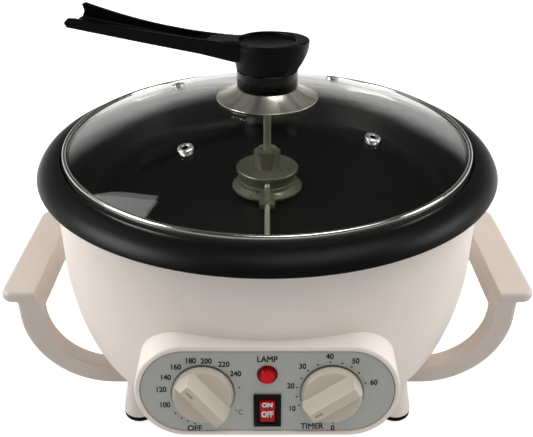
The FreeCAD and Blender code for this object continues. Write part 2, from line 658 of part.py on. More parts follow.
part("motor_rotor", place(turned([
    (0, CAN_LOW_Z + 0.2), (MOTOR_SHAFT, CAN_LOW_Z + 0.2), (MOTOR_SHAFT, STATOR_LOW_Z + 1),
    (ROTOR_RADIUS, STATOR_LOW_Z + 1), (ROTOR_RADIUS, STATOR_TOP_Z - 1),
    (MOTOR_SHAFT, STATOR_TOP_Z - 1), (MOTOR_SHAFT, rotor_shaft_top), (0, rotor_shaft_top)]),
    "motor_x", "idler_y"))

# ================================================================ stirrer
WIRE_RADIUS = 1.65
EAR_PIN = 27.7                 # the pins that hold the stirring wires, from the axis
HUB_LOW_Z, HUB_TOP_Z, HUB_RADIUS, HUB_NECK, HUB_BORE = 131, 141, 23.1, 16.5, 8.5
EAR_WIDTH, EAR_IN, EAR_OUT, EAR_HIGH = 10, 19, 33, 3.6
hub_turned = turned([
    ("shaft_radius", HUB_TOP_Z - 2), ("shaft_radius", HUB_TOP_Z), (HUB_NECK, HUB_TOP_Z),
    (HUB_NECK, 137.6), (HUB_RADIUS, 132.4, 14), (HUB_RADIUS, HUB_LOW_Z), (HUB_BORE, HUB_LOW_Z),
    (HUB_BORE, HUB_TOP_Z - 2)])
ears = [block(EAR_WIDTH, EAR_OUT - EAR_IN, EAR_HIGH, -EAR_WIDTH / 2, y, HUB_LOW_Z)
        for y in (-EAR_OUT, EAR_IN)]
pin_holes = [cylinder(WIRE_RADIUS, 6, 0, y, HUB_LOW_Z - 1) for y in (-EAR_PIN, EAR_PIN)]
part("stir_hub", cut(fuse(hub_turned, *ears), cylinder(HUB_BORE, 8, z=HUB_LOW_Z), *pin_holes))
PIN_TOP_Z = 144.2
part("arm_pins", group(*[
    fuse(cylinder(WIRE_RADIUS, PIN_TOP_Z - HUB_LOW_Z - 0.2, 0, y, HUB_LOW_Z + 0.2),
         cone(WIRE_RADIUS, 1.0, 1.2, 0, y, PIN_TOP_Z))
    for y in (-EAR_PIN, EAR_PIN)]))

# Cap: a notched disc with a hexagon on top, bored for the shaft below and for the rod above.
DISC_TOP_Z, DISC_RADIUS, HEXAGON_RADIUS, HEXAGON_HIGH = 145.5, 20.4, 8.8, 11.5
ROD_BORE, ROD_BORE_Z = 3.2, 149.5
NOTCH_WIDTH = 7
cap_disc = turned([
    (0, HUB_TOP_Z), (19, HUB_TOP_Z), (19, 142.6), (DISC_RADIUS, 143),
    (DISC_RADIUS, DISC_TOP_Z - 0.5), (DISC_RADIUS - 0.5, DISC_TOP_Z), (0, DISC_TOP_Z)])
hexagon = place(hexagonal(HEXAGON_RADIUS, HEXAGON_HIGH), z=DISC_TOP_Z)
notches = [place(block(NOTCH_WIDTH, 3, 5, -NOTCH_WIDTH / 2, 17.9, HUB_TOP_Z - 0.1),
                 rotation=FreeCAD.Rotation(V(0, 0, 1), angle)) for angle in (0, 120, 240)]
part("stir_cap", cut(fuse(cap_disc, hexagon),
                     cylinder("shaft_radius", SHAFT_TOP_Z - HUB_TOP_Z + 0.01, z=HUB_TOP_Z - 0.01),
                     cylinder(ROD_BORE, 8, z=ROD_BORE_Z), *notches))


def stir_wire(side):
    """Stirring wire: out from the hub's ear along the pan's floor, then up at its end."""
    low, top, bend, end = HUB_LOW_Z + 1.9, 146.0, 9.0, 106.0
    bend_start, half = end - bend, math.sqrt(0.5)
    level = Part.LineSegment(V(0, side * EAR_OUT, low), V(0, side * bend_start, low))
    middle = V(0, side * (bend_start + bend * half), low + bend * (1 - half))
    curve = Part.Arc(V(0, side * bend_start, low), middle, V(0, side * end, low + bend))
    upright = Part.LineSegment(V(0, side * end, low + bend), V(0, side * end, top))
    spine = Part.Wire([level.toShape(), curve.toShape(), upright.toShape()])
    ring = Part.Wire(Part.makeCircle(WIRE_RADIUS, V(0, side * EAR_OUT, low), V(0, side, 0)))
    return spine.makePipeShell([ring], True, True)


part("stir_wires", shaped(Part.makeCompound([stir_wire(-1), stir_wire(1)])))


# ================================================================ control panel
HOUSING_WALL = 5.0
FASCIA_FIT = 0.1
housing = cut(stadium("pod_width", "pod_height", "pod_depth"),
              stadium("fascia_width", "fascia_height", "fascia_front+fascia_thick",
                      grow=FASCIA_FIT),
              stadium("pod_width", "pod_height", "pod_depth", grow=-HOUSING_WALL))
part("control_housing", on_panel(housing))

LAMP_Z, LAMP_SNOUT, ROCKER_Z = 10.5, 4.6, -11.3
SWITCH_WIDTH, SWITCH_HEIGHT, SWITCH_DEPTH = 12.4, 17.8, 16
FASCIA_BACK = "fascia_front+fascia_thick"
fascia = cut(stadium("fascia_width", "fascia_height", "fascia_thick", "fascia_front"),
             cylinder("dial_shaft+1", 6, "-dial_pitch", -1, "-dial_drop", AWAY),
             cylinder("dial_shaft+1", 6, "dial_pitch", -1, "-dial_drop", AWAY),
             cylinder(LAMP_SNOUT, 6, 0, -1, LAMP_Z, AWAY),
             block(SWITCH_WIDTH, 6, SWITCH_HEIGHT,
                   -SWITCH_WIDTH / 2, -1, ROCKER_Z - SWITCH_HEIGHT / 2))
part("fascia_plate", on_panel(fascia))

SKIRT_EDGE, SKIRT_HIGH, SKIRT_SLOPE = 1.6, 4.4, 1.2
BAR_REACH, BAR_HALF, BAR_BASE, BAR_HIGH = 17.0, 7.0, 3.4, 9.3
BAR_TOP_LEFT, BAR_TOP_RIGHT, BAR_TOP_HALF = -15.0, 13.6, 2.8
NOTCH_PLACE, NOTCH_LENGTH, NOTCH_DEEP = 6.9, 4.5, 0.6
NOTCH_THICK = 1.2


def dial(label, x, angle):
    """Round skirt with a raised tapered bar across it and an index notch near one end of it. The
    bar's ends are cut off flush with the skirt."""
    skirt = turned([
        ("dial_shaft", 0), ("dial_radius", 0), ("dial_radius", SKIRT_EDGE),
        ("dial_radius-%g" % SKIRT_SLOPE, SKIRT_HIGH), ("dial_shaft", SKIRT_HIGH)])
    bar = doc.addObject("Part::Wedge", "Bar")
    bar.Xmin, bar.Xmax = -BAR_REACH, BAR_REACH
    bar.Zmin, bar.Zmax = -BAR_HALF, BAR_HALF
    bar.X2min, bar.X2max = BAR_TOP_LEFT, BAR_TOP_RIGHT
    bar.Z2min, bar.Z2max = -BAR_TOP_HALF, BAR_TOP_HALF
    bar.Ymin, bar.Ymax = 0, BAR_HIGH
    bar.Placement = FreeCAD.Placement(V(0, 0, BAR_BASE), FreeCAD.Rotation(V(1, 0, 0), 90))
    notch = block(NOTCH_LENGTH, NOTCH_THICK, 2, NOTCH_PLACE, -NOTCH_THICK / 2,
                  BAR_BASE + BAR_HIGH - NOTCH_DEEP)
    outside = cut(cylinder("2*dial_radius", 20), cylinder("dial_radius", 20))
    knob = cut(fuse(skirt, cut(bar, outside)), cylinder("dial_shaft", 10, 0, 0, -0.5), notch)
    turn = FACING.multiply(FreeCAD.Rotation(V(0, 0, 1), angle))
    part(label, on_panel(knob, x, "fascia_front-0.6", "-dial_drop", turn))


TEMPERATURE_REST, TIMER_REST = 131, 214       # where each notch points, from panel right
dial("temperature_dial", "-dial_pitch", TEMPERATURE_REST)
dial("timer_dial", "dial_pitch", TIMER_REST)
for label, x in (("temperature_shaft", "-dial_pitch"), ("timer_shaft", "dial_pitch")):
    part(label, on_panel(cylinder("dial_shaft", 25), x, -9, "-dial_drop", AWAY))

# Thermostat: a square block. Timer: a round clockwork. Each is bored for its dial's shaft.
UNIT_WIDTH, UNIT_HEIGHT, UNIT_DEPTH = 33, 32, 26
shaft_room = [cylinder("dial_shaft+0.05", 20, rotation=AWAY) for unit in range(2)]
thermostat = cut(block(UNIT_WIDTH, UNIT_DEPTH, UNIT_HEIGHT,
                       -UNIT_WIDTH / 2, FASCIA_BACK, -UNIT_HEIGHT / 2), shaft_room[0])
part("thermostat_unit", on_panel(thermostat, "-dial_pitch", 0, "-dial_drop"))
timer = cut(cylinder(19, 28, 0, FASCIA_BACK, 0, AWAY), shaft_room[1])
part("timer_unit", on_panel(timer, "dial_pitch", 0, "-dial_drop"))

BEZEL_RADIUS, BEZEL_PROUD, LENS_RADIUS, SNOUT_LENGTH = 5.6, 0.3, 3.9, 12
lamp_bezel = cut(fuse(cylinder(BEZEL_RADIUS, 1, 0, -BEZEL_PROUD, 0, AWAY),
                      cylinder(LAMP_SNOUT, SNOUT_LENGTH, 0, -BEZEL_PROUD, 0, AWAY)),
                 cylinder(LENS_RADIUS, SNOUT_LENGTH + 2, 0, -1, 0, AWAY))
part("lamp_bezel", on_panel(lamp_bezel, 0, 0, LAMP_Z))
LENS_HEAD, LENS_HEAD_LOW, LENS_TOP = 4.7, 8, 12.2
lamp_lens = turned([
    (0, 0), (LENS_RADIUS, 0), (LENS_RADIUS, LENS_HEAD_LOW), (LENS_HEAD, LENS_HEAD_LOW),
    (LENS_HEAD, LENS_TOP - 1), (LENS_HEAD - 1, LENS_TOP, 1), (0, LENS_TOP)])
part("lamp_lens", on_panel(lamp_lens, 0, LENS_HEAD_LOW - BEZEL_PROUD, LAMP_Z, FACING))

# Rocker switch: a frame with a rim on the fascia, and a button that tips on a pivot inside it.
FRAME_WIDTH, FRAME_HEIGHT, FRAME_PROUD = 14.8, 19.6, 0.8
WELL_WIDTH, WELL_HEIGHT, WELL_DEPTH = 9, 14.8, 12
rocker_frame = cut(
    fuse(block(FRAME_WIDTH, 1.5, FRAME_HEIGHT, -FRAME_WIDTH / 2, -FRAME_PROUD, -FRAME_HEIGHT / 2),
         block(SWITCH_WIDTH, SWITCH_DEPTH, SWITCH_HEIGHT,
               -SWITCH_WIDTH / 2, -FRAME_PROUD, -SWITCH_HEIGHT / 2)),
    block(WELL_WIDTH, WELL_DEPTH, WELL_HEIGHT, -WELL_WIDTH / 2, -1, -WELL_HEIGHT / 2))
part("rocker_frame", on_panel(rocker_frame, 0, 0, ROCKER_Z))
ROCKER_TILT, ROCKER_PIVOT, ROCKER_WIDTH = 7.0, 3.4, 8.5
rocker = padded("YZ_Plane", [(-4.6, -6.7), (-3.4, 0), (-4.6, 6.7), (0, 7.0), (3, 5), (3, -5),
                             (0, -7.0)], ROCKER_WIDTH, -ROCKER_WIDTH / 2)
part("rocker_button", on_panel(rocker, 0, ROCKER_PIVOT, ROCKER_Z,
                               FreeCAD.Rotation(V(1, 0, 0), ROCKER_TILT)))

# ================================================================ power side
RECESS_WIDTH, RECESS_HIGH, RECESS_END = 25, 17, 119.6
PIN_LENGTH = 13
part("power_inlet", cut(
    block(INLET_WIDTH, INLET_BACK - INLET_FRONT, INLET_HIGH,
          -INLET_WIDTH / 2, INLET_FRONT, INLET_Z),
    block(RECESS_WIDTH, 18, RECESS_HIGH, -RECESS_WIDTH / 2, RECESS_END, INLET_Z + 6.5)))
part("inlet_pins", group(block(4, PIN_LENGTH, 2, -2, RECESS_END, INLET_Z + 18),
                         block(2, PIN_LENGTH, 4, -8, RECESS_END, INLET_Z + 11),
                         block(2, PIN_LENGTH, 4, 6, RECESS_END, INLET_Z + 11)))
part("terminal_block", block(40, 18, 14, -62, 8, "bowl_base_z"))

# ================================================================ lid
def dome(radius, sphere):
    """Height of one of the dome's spheres at a given radius."""
    return value("glass_apex_z-glass_sphere") + math.sqrt(value(sphere) ** 2 - radius ** 2)


# Vents: metal eyelets in four holes, square to the glass.
VENT_ANGLES = [53, 143, 233, 323]
EYELET_BORE, EYELET_BODY, EYELET_RIM, EYELET_INSIDE = 1.8, 3, 4.6, 4.2
vent_radius, vent_z = value("vent_circle"), dome(value("vent_circle"), "glass_sphere")
vent_lean = math.degrees(math.asin(vent_radius / value("glass_sphere")))
vents = []
vent_holes = []
for angle in VENT_ANGLES:
    turn = FreeCAD.Rotation(V(0, 0, 1), angle).multiply(FreeCAD.Rotation(V(0, 1, 0), vent_lean))
    on_glass = FreeCAD.Placement(V(vent_radius * math.cos(math.radians(angle)),
                                   vent_radius * math.sin(math.radians(angle)), vent_z), turn)
    hole = cylinder(EYELET_BODY, 12)
    hole.Placement = on_glass.multiply(FreeCAD.Placement(V(0, 0, -8), FreeCAD.Rotation()))
    vent_holes.append(hole)
    eyelet = turned([
        (EYELET_BORE, -5), (EYELET_INSIDE, -5), (EYELET_INSIDE, -4.3), (EYELET_BODY, -4.3),
        (EYELET_BODY, 0.06), (EYELET_RIM, 0.06), (EYELET_RIM, 0.5), (3.6, 1.3, 1.4),
        (EYELET_BORE, 0.9)])
    eyelet.Placement = on_glass
    vents.append(eyelet)
part("vent_eyelets", group(*vents))

GLASS_HOLE = 5.5
glass_edge = value("glass_radius")
glass = turned([
    (GLASS_HOLE, dome(GLASS_HOLE, "glass_sphere-glass_thick")),
    ("glass_radius", dome(glass_edge, "glass_sphere-glass_thick"), "-glass_sphere+glass_thick"),
    ("glass_radius", dome(glass_edge, "glass_sphere")),
    (GLASS_HOLE, dome(GLASS_HOLE, "glass_sphere"), "glass_sphere")])
part("lid_glass", cut(glass, *vent_holes))

# The steel ring wraps the glass's edge: a foot on the ledge, a wall and a turned-in lip.
RING_IN, RING_TOP_Z, LIP_IN = 126.6, 168.7, 127.6
part("lid_ring", turned([
    (RING_IN, "ledge_z+0.05"), ("ring_radius-0.5", "ledge_z+0.05"),
    ("ring_radius", "ledge_z+0.6"), ("ring_radius", RING_TOP_Z - 0.7),
    ("ring_radius-0.9", RING_TOP_Z, 0.9), (LIP_IN, RING_TOP_Z - 0.2), (LIP_IN, RING_TOP_Z - 0.95),
    ("glass_radius+0.2", RING_TOP_Z - 1.1), ("glass_radius+0.2", "ledge_z+1.5"),
    (RING_IN, "ledge_z+1.5")]))

WASHER_LOW_Z, WASHER_RADIUS = 189.6, 8
under_glass = dome(WASHER_RADIUS, "glass_sphere-glass_thick") - 0.02
part("glass_washers", group(
    tube(9, "rod_radius", "neck_z-0.8-glass_apex_z", z="glass_apex_z"),
    turned([("rod_radius", WASHER_LOW_Z), (WASHER_RADIUS, WASHER_LOW_Z),
            (WASHER_RADIUS, under_glass), ("rod_radius", under_glass)])))

NUT_HIGH = 4


def rod_nut(z):
    """Hexagon nut on the hold-down rod."""
    return cut(place(hexagonal(4.7, NUT_HIGH), z=z), cylinder("rod_radius", NUT_HIGH, z=z))


part("rod_nuts", group(rod_nut(WASHER_LOW_Z - NUT_HIGH), rod_nut(217)))
ROD_LOW_Z, ROD_TOP_Z = 151, 222
part("hold_down_rod", turned([
    (0, ROD_LOW_Z), ("rod_radius-0.6", ROD_LOW_Z), ("rod_radius", ROD_LOW_Z + 0.8),
    ("rod_radius", ROD_TOP_Z), (0, ROD_TOP_Z)]))

# ================================================================ knob and side arm
FLANGE_RADIUS, FLANGE_LOW_Z, FLANGE_ARC = 31.9, 194.4, 31
part("cone_flange", turned([
    ("rod_radius", "neck_z-0.8"), ("neck_radius-0.7", "neck_z-0.8"),
    (FLANGE_RADIUS - 0.6, FLANGE_LOW_Z, -FLANGE_ARC), (FLANGE_RADIUS, FLANGE_LOW_Z),
    (FLANGE_RADIUS, FLANGE_LOW_Z + 0.7), ("neck_radius", "neck_z", FLANGE_ARC),
    ("rod_radius", "neck_z")]))
part("knob_neck", turned([
    ("rod_radius", "neck_z"), ("neck_radius-0.6", "neck_z"), ("neck_radius", "neck_z+0.6"),
    ("neck_radius", "cup_z"), ("rod_radius", "cup_z")]))

# The cup widens upwards and leans out to the right: sections of height, shift and half sizes.
CUP_SECTIONS = [("cup_z", 0, 19.101, 19.1), ("cup_z+5", 1.1, 21.2, 19.3),
                ("cup_z+10", 2.1, 22.6, 19.1), ("plate_z", 2.8, 23.1, 18.9)]
cup_body = doc.addObject("PartDesign::Body", "Cup")
cup_sketches = []
for height, shift, across, deep in CUP_SECTIONS:
    section = cup_body.newObject("Sketcher::SketchObject", "Section")
    flat = [item for item in cup_body.Origin.OriginFeatures if item.Role == "XY_Plane"][0]
    section.AttachmentSupport = [(flat, "")]
    section.MapMode = "FlatFace"
    section.AttachmentOffset = FreeCAD.Placement(V(0, 0, value(height)), FreeCAD.Rotation())
    section.setExpression("AttachmentOffset.Base.z", formula(height))
    section.addGeometry(Part.Ellipse(V(shift, 0, 0), across, deep), False)
    section.addConstraint(Sketcher.Constraint("Block", 0))
    cup_sketches.append(section)
cup_loft = cup_body.newObject("PartDesign::AdditiveLoft", "Loft")
cup_loft.Profile = cup_sketches[0]
cup_loft.Sections = cup_sketches[1:]
part("knob_cup", cut(cup_body, cylinder("rod_radius", 30, 0, 0, 205), cylinder(8, 20, 0, 0, 217)))
CAP_TOP_Z = "knob_top_z-1.6"
part("knob_cap", turned([
    (0, "plate_z"), ("recess_radius", "plate_z"), ("recess_radius", CAP_TOP_Z),
    ("recess_radius-1.4", CAP_TOP_Z), (0, "knob_top_z-2.6", "-70")]))

# Side arm: a rising channel with a low wall in front and a high wall behind, and the top plate
# that holds it to the knob. Outlines are in the XZ plane.
ARM_ROOT = -14                 # the arm's pieces start inside the top plate
underside = [(-70, 230.9), (-40.4, 225), (-20.2, 219.9), (ARM_ROOT, 219.9)]


def side_wall(top, end, offset):
    """One wall of the arm: along its top, round its end and back along the underside."""
    outline = [(ARM_ROOT, "plate_z"), (ARM_ROOT, "knob_top_z")] + top + end + underside
    return padded("XZ_Plane", outline, "arm_wall", offset)


near_wall = side_wall([(-22, "knob_top_z"), (-113, 246, -1400)],
                      [(-117.4, 246.3), (-120, 243.8), (-118.6, 241)], "arm_half-arm_wall")
far_wall = side_wall([(-20, "knob_top_z"), (-110, 251.4, -330)],
                     [(-112.3, 250.6), (-111.2, 246.6), (-114, 240.3)], "-arm_half")
trough = padded("XZ_Plane", [
    (ARM_ROOT, "plate_z"), (ARM_ROOT, "knob_top_z"), (-34, "knob_top_z+1"),
    (-46, "knob_top_z-2"), (-114, 243.2), (-115, 240.6)] + underside,
    "2*arm_half-2*arm_wall", "-arm_half+arm_wall")
PLATE_HALF, PLATE_LEFT, PLATE_RIGHT = 18.9, -15.71, 25.9
top_plate = padded("XY_Plane", [
    (PLATE_LEFT, "-arm_half"), (0, -PLATE_HALF, PLATE_HALF), (14, -16.3, 39),
    (PLATE_RIGHT, 0, 18.6), (14, 16.3, 18.6), (0, PLATE_HALF, 39),
    (PLATE_LEFT, "arm_half", PLATE_HALF)], "knob_top_z-plate_z", "plate_z")
arm = cut(fuse(top_plate, near_wall, far_wall, trough), cup_body,
          cylinder("recess_radius", 8, 0, 0, "plate_z-2"))
part("handle_arm", arm)

# ---------------------------------------------------------------- check and write
doc.recompute()
faulty = [thing.Label for thing in doc.Objects
          if "Invalid" in thing.State or "Error" in thing.State]
for label, thing in nodes.items():
    shape = thing.Shape
    if shape.isNull() or not shape.isValid() or not shape.Solids:
        faulty.append(label)
if faulty:
    raise SystemExit("failed: " + ", ".join(faulty))

os.makedirs("parts", exist_ok=True)
for label, thing in nodes.items():
    thing.Shape.exportStep("parts/%s.step" % label)
    box = thing.Shape.BoundBox
    print("%-26s %9.0f mm3  x %7.1f %7.1f  y %7.1f %7.1f  z %6.1f %6.1f  solids %d" % (
        label, thing.Shape.Volume, box.XMin, box.XMax, box.YMin, box.YMax, box.ZMin, box.ZMax,
        len(thing.Shape.Solids)))
print(len(nodes), "nodes")
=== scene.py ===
import json
import math

import bmesh
import bpy
from mathutils import Matrix, Vector


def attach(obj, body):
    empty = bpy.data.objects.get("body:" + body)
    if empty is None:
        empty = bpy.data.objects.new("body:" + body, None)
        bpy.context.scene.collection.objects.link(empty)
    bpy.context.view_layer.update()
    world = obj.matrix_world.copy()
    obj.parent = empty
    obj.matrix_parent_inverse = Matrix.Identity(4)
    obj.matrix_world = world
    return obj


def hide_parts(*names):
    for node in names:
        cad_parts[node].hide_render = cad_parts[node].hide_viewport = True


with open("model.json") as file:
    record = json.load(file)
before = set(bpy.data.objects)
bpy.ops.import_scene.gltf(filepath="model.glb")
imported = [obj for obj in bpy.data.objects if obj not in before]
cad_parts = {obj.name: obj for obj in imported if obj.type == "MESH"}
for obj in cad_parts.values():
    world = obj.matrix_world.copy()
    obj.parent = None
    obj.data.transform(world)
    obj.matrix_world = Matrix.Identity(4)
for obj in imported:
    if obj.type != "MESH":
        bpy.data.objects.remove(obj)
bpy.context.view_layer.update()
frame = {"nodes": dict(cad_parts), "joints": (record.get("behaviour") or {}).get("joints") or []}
MM = 0.001                     # sizes below are in millimetres, meshes in metres

# ---------------------------------------------------------------- outer bowl
# One injection moulding in warm white polypropylene, about 2.6 mm thick. The tool is spark-eroded
# to a fine matt, so light lies on the bowl in broad soft bands instead of sharp reflections.


def linear(colour):
    """Linear colour with alpha, from an sRGB hex value."""
    channels = [int(colour[place:place + 2], 16) / 255 for place in (1, 3, 5)]
    return [c / 12.92 if c <= 0.04045 else ((c + 0.055) / 1.055) ** 2.4 for c in channels] + [1.0]


def node(tree, kind, inputs=None, **settings):
    """Add a node to a tree, with its settings, values and links."""
    made = tree.nodes.new(kind)
    for setting, value in settings.items():
        setattr(made, setting, value)
    for socket, source in (inputs or {}).items():
        if isinstance(source, bpy.types.NodeSocket):
            tree.links.new(source, made.inputs[socket])
        else:
            made.inputs[socket].default_value = source
    return made


def surface(name, sockets):
    """New material: returns it, its tree, its shader and the object's own coordinates."""
    material = bpy.data.materials.new(name)
    material.use_nodes = True
    tree = material.node_tree
    shader = tree.nodes["Principled BSDF"]
    for socket, value in sockets.items():
        shader.inputs[socket].default_value = value
    place = node(tree, "ShaderNodeTexCoord").outputs["Object"]
    return material, tree, shader, place


NOISE_LOW, NOISE_HIGH = 0.3, 0.7      # nearly all of a noise lies between these
CLOUD, GLOSS_DRIFT = 70, 0.04         # millimetres from cloud to cloud; how far roughness strays


def toned(tree, shader, colour, pattern, low, high, start=NOISE_LOW, end=NOISE_HIGH):
    """Colour, times a brightness that runs from low to high as a pattern runs from start to end."""
    brightness = node(tree, "ShaderNodeMapRange", {
        "Value": pattern, "From Min": start, "From Max": end, "To Min": low, "To Max": high})
    tint = node(tree, "ShaderNodeHueSaturation", {
        "Color": linear(colour), "Value": brightness.outputs["Result"]})
    tree.links.new(tint.outputs["Color"], shader.inputs["Base Color"])


def textured(tree, shader, pattern, smooth, rough, depth):
    """Texture whose noise breaks up the gloss and raises the surface, to a depth in millimetres."""
    patch = node(tree, "ShaderNodeMapRange", {
        "Value": pattern, "From Min": NOISE_LOW, "From Max": NOISE_HIGH,
        "To Min": smooth, "To Max": rough})
    relief = node(tree, "ShaderNodeBump", {
        "Height": pattern, "Distance": depth * MM, "Strength": 1.0})
    tree.links.new(patch.outputs["Result"], shader.inputs["Roughness"])
    tree.links.new(relief.outputs["Normal"], shader.inputs["Normal"])


def moulded(name, colour, roughness, grain, depth, drift=0.03, shine=0.5):
    """Moulded plastic: its tone drifts a little over the piece, and the tool's texture, given by
    its spacing and depth in millimetres, breaks up the gloss."""
    material, tree, shader, place = surface(name, {
        "Roughness": roughness, "Specular IOR Level": shine})
    cloud = node(tree, "ShaderNodeTexNoise", {
        "Vector": place, "Scale": 1 / (CLOUD * MM), "Detail": 2.0}).outputs["Fac"]
    texture = node(tree, "ShaderNodeTexNoise", {
        "Vector": place, "Scale": 1 / (grain * MM), "Detail": 3.0,
        "Roughness": 0.6}).outputs["Fac"]
    toned(tree, shader, colour, cloud, 1 - drift, 1 + drift / 2)
    textured(tree, shader, texture, roughness - GLOSS_DRIFT, roughness + GLOSS_DRIFT, depth)
    return material


def dress(material, *node_names):
    """Give CAD nodes a material."""
    for node_name in node_names:
        for slot in frame["nodes"][node_name].material_slots:
            slot.material = material


# Polypropylene: a waxy, slightly milky white. The real texture is about 0.1 mm, drawn at 0.9 mm.
bowl_plastic = moulded(
    "textured white polypropylene", "#E7DDD4", roughness=0.42, grain=0.9, depth=0.012)
dress(bowl_plastic, "outer_bowl")

# ---------------------------------------------------------------- base plate and its screws
# The flat base closes the bowl from below. Rows of slots let air in under the motor, and ten
# zinc-plated pan-head screws hold the base and the legs of the handles.


def mesh_from(points, faces):
    mesh = bpy.data.meshes.new("shape")
    mesh.from_pydata(points, [], faces)
    return mesh


def reworked(mesh, *steps):
    """Mesh after a few bmesh operations, each given as a function of the bmesh."""
    work = bmesh.new()
    work.from_mesh(mesh)
    for step in steps:
        step(work)
    work.to_mesh(mesh)
    work.free()
    return mesh


def merged(node_name):
    """Copy of a CAD node's mesh with its loose triangles joined up."""
    source = frame["nodes"][node_name].data
    mesh = mesh_from([v.co for v in source.vertices],
                     [list(face.vertices) for face in source.polygons])
    return reworked(mesh, lambda work: bmesh.ops.remove_doubles(
        work, verts=work.verts, dist=0.003 * MM))


def placed(name, data):
    """New object in the scene."""
    made = bpy.data.objects.new(name, data)
    bpy.context.scene.collection.objects.link(made)
    return made


def settled(holder):
    """Plain mesh of an object after its modifiers. The object itself is removed."""
    bpy.context.view_layer.update()
    evaluated = holder.evaluated_get(bpy.context.evaluated_depsgraph_get())
    result = bpy.data.meshes.new_from_object(evaluated)
    bpy.data.objects.remove(holder)
    return result


def modified(shape, *steps):
    """Mesh of a shape after a few modifiers, each given as its kind and its settings."""
    holder = placed("holder", shape)
    for kind, settings in steps:
        modifier = holder.modifiers.new(kind, kind)
        for setting, value in settings.items():
            setattr(modifier, setting, value)
    return settled(holder)


def softened(node_name, width):
    """Copy of a CAD node's mesh with flat faces made whole and sharp edges rounded over."""
    mesh = reworked(merged(node_name), lambda work: bmesh.ops.dissolve_limit(
        work, angle_limit=math.radians(0.5), verts=work.verts, edges=work.edges))
    return modified(mesh, ("BEVEL", {
        "width": width * MM, "segments": 3, "limit_method": "ANGLE",
        "angle_limit": math.radians(32), "miter_outer": "MITER_ARC"}))


CREASE = 38                    # degrees between two faces from which their edge is drawn sharp


def piece(name, mesh, material, body, *replaced, slot):
    """Finished piece on a body: smooth, and sharp only at its creases."""
    made = placed(name, mesh)
    mesh.name = name
    mesh.materials.clear()
    mesh.materials.append(material)
    mesh.shade_smooth()
    mesh.set_sharp_from_angle(angle=math.radians(CREASE))
    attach(made, body)
    if replaced:
        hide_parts(*replaced)


piece("slotted_base", softened("base_plate", 0.5), bowl_plastic, "roaster", "base_plate",
      slot="bowl_plastic")

ARC_STEPS, CORNER_STEPS = 14, 5       # faces along an arc, and round a corner


def arc(start, end, radius):
    """Points after the start of an arc up to its end; it turns left where the radius is positive."""
    (x0, z0), (x1, z1) = start, end
    chord = math.hypot(x1 - x0, z1 - z0)
    reach = math.copysign(math.sqrt(radius ** 2 - chord ** 2 / 4), radius)
    centre_x = (x0 + x1) / 2 - (z1 - z0) / chord * reach
    centre_z = (z0 + z1) / 2 + (x1 - x0) / chord * reach
    first = math.atan2(z0 - centre_z, x0 - centre_x)
    sweep = 2 * math.asin(chord / 2 / radius)
    angles = [first + sweep * step / ARC_STEPS for step in range(1, ARC_STEPS + 1)]
    return [(centre_x + abs(radius) * math.cos(angle), centre_z + abs(radius) * math.sin(angle))
            for angle in angles]


def rounded(corners):
    """Closed outline from corners: (x, z) stays sharp, and (x, z, radius) gets a round corner."""
    points = []
    for number, corner in enumerate(corners):
        here = Vector(corner[:2])
        if len(corner) == 2:
            points.append(tuple(here))
            continue
        into = (Vector(corners[number - 1][:2]) - here).normalized()
        out = (Vector(corners[(number + 1) % len(corners)][:2]) - here).normalized()
        half = into.angle(out) / 2
        middle = here + (into + out).normalized() * corner[2] / math.sin(half)
        start = here + into * corner[2] / math.tan(half)
        swing = math.pi - 2 * half
        side = 1 if into.cross(out) < 0 else -1
        first = math.atan2(start.y - middle.y, start.x - middle.x)
        for step in range(CORNER_STEPS + 1):
            angle = first + side * swing * step / CORNER_STEPS
            points.append((middle.x + corner[2] * math.cos(angle),
                           middle.y + corner[2] * math.sin(angle)))
    return points


def closed(mesh):
    """Merge doubled points, drop collapsed faces and point every face outwards."""
    return reworked(
        mesh, lambda work: bmesh.ops.remove_doubles(work, verts=work.verts, dist=0.0005 * MM),
        lambda work: bmesh.ops.dissolve_degenerate(work, edges=work.edges, dist=0.0002 * MM),
        lambda work: bmesh.ops.recalc_face_normals(work, faces=work.faces))


def swept(rings):
    """Closed solid through a closed row of rings, which are lists of points in millimetres."""
    count = len(rings[0])
    faces = []
    for number in range(len(rings)):
        near, far = number * count, (number + 1) % len(rings) * count
        for place in range(count):
            after = (place + 1) % count
            faces.append((near + place, far + place, far + after, near + after))
    points = [(x * MM, y * MM, z * MM) for ring in rings for x, y, z in ring]
    return closed(mesh_from(points, faces))


def lathe(outline, steps):
    """Solid turned about Z from a closed outline of (radius, height) points."""
    angles = [2 * math.pi * step / steps for step in range(steps)]
    return swept([[(radius * math.cos(angle), radius * math.sin(angle), height)
                   for radius, height in outline] for angle in angles])


def block(long, wide, high, x=0.0, y=0.0, z=0.0):
    """Box about a point."""
    corners = [((x + i * long / 2) * MM, (y + j * wide / 2) * MM, (z + k * high / 2) * MM)
               for i in (-1, 1) for j in (-1, 1) for k in (-1, 1)]
    faces = [(0, 1, 3, 2), (4, 6, 7, 5), (0, 4, 5, 1), (2, 3, 7, 6), (0, 2, 6, 4), (1, 5, 7, 3)]
    return mesh_from(corners, faces)


def combined(operation, first, *others):
    """Exact union, difference or intersection of meshes."""
    tools = [placed("tool", mesh) for mesh in others]
    result = modified(first, *[
        ("BOOLEAN", {"operation": operation, "object": tool, "solver": "EXACT"})
        for tool in tools])
    for tool in tools:
        bpy.data.objects.remove(tool)
    return result


def joined(*meshes):
    """Meshes laid side by side in one."""
    work = bmesh.new()
    for mesh in meshes:
        work.from_mesh(mesh)
    result = bpy.data.meshes.new("shape")
    work.to_mesh(result)
    work.free()
    return result


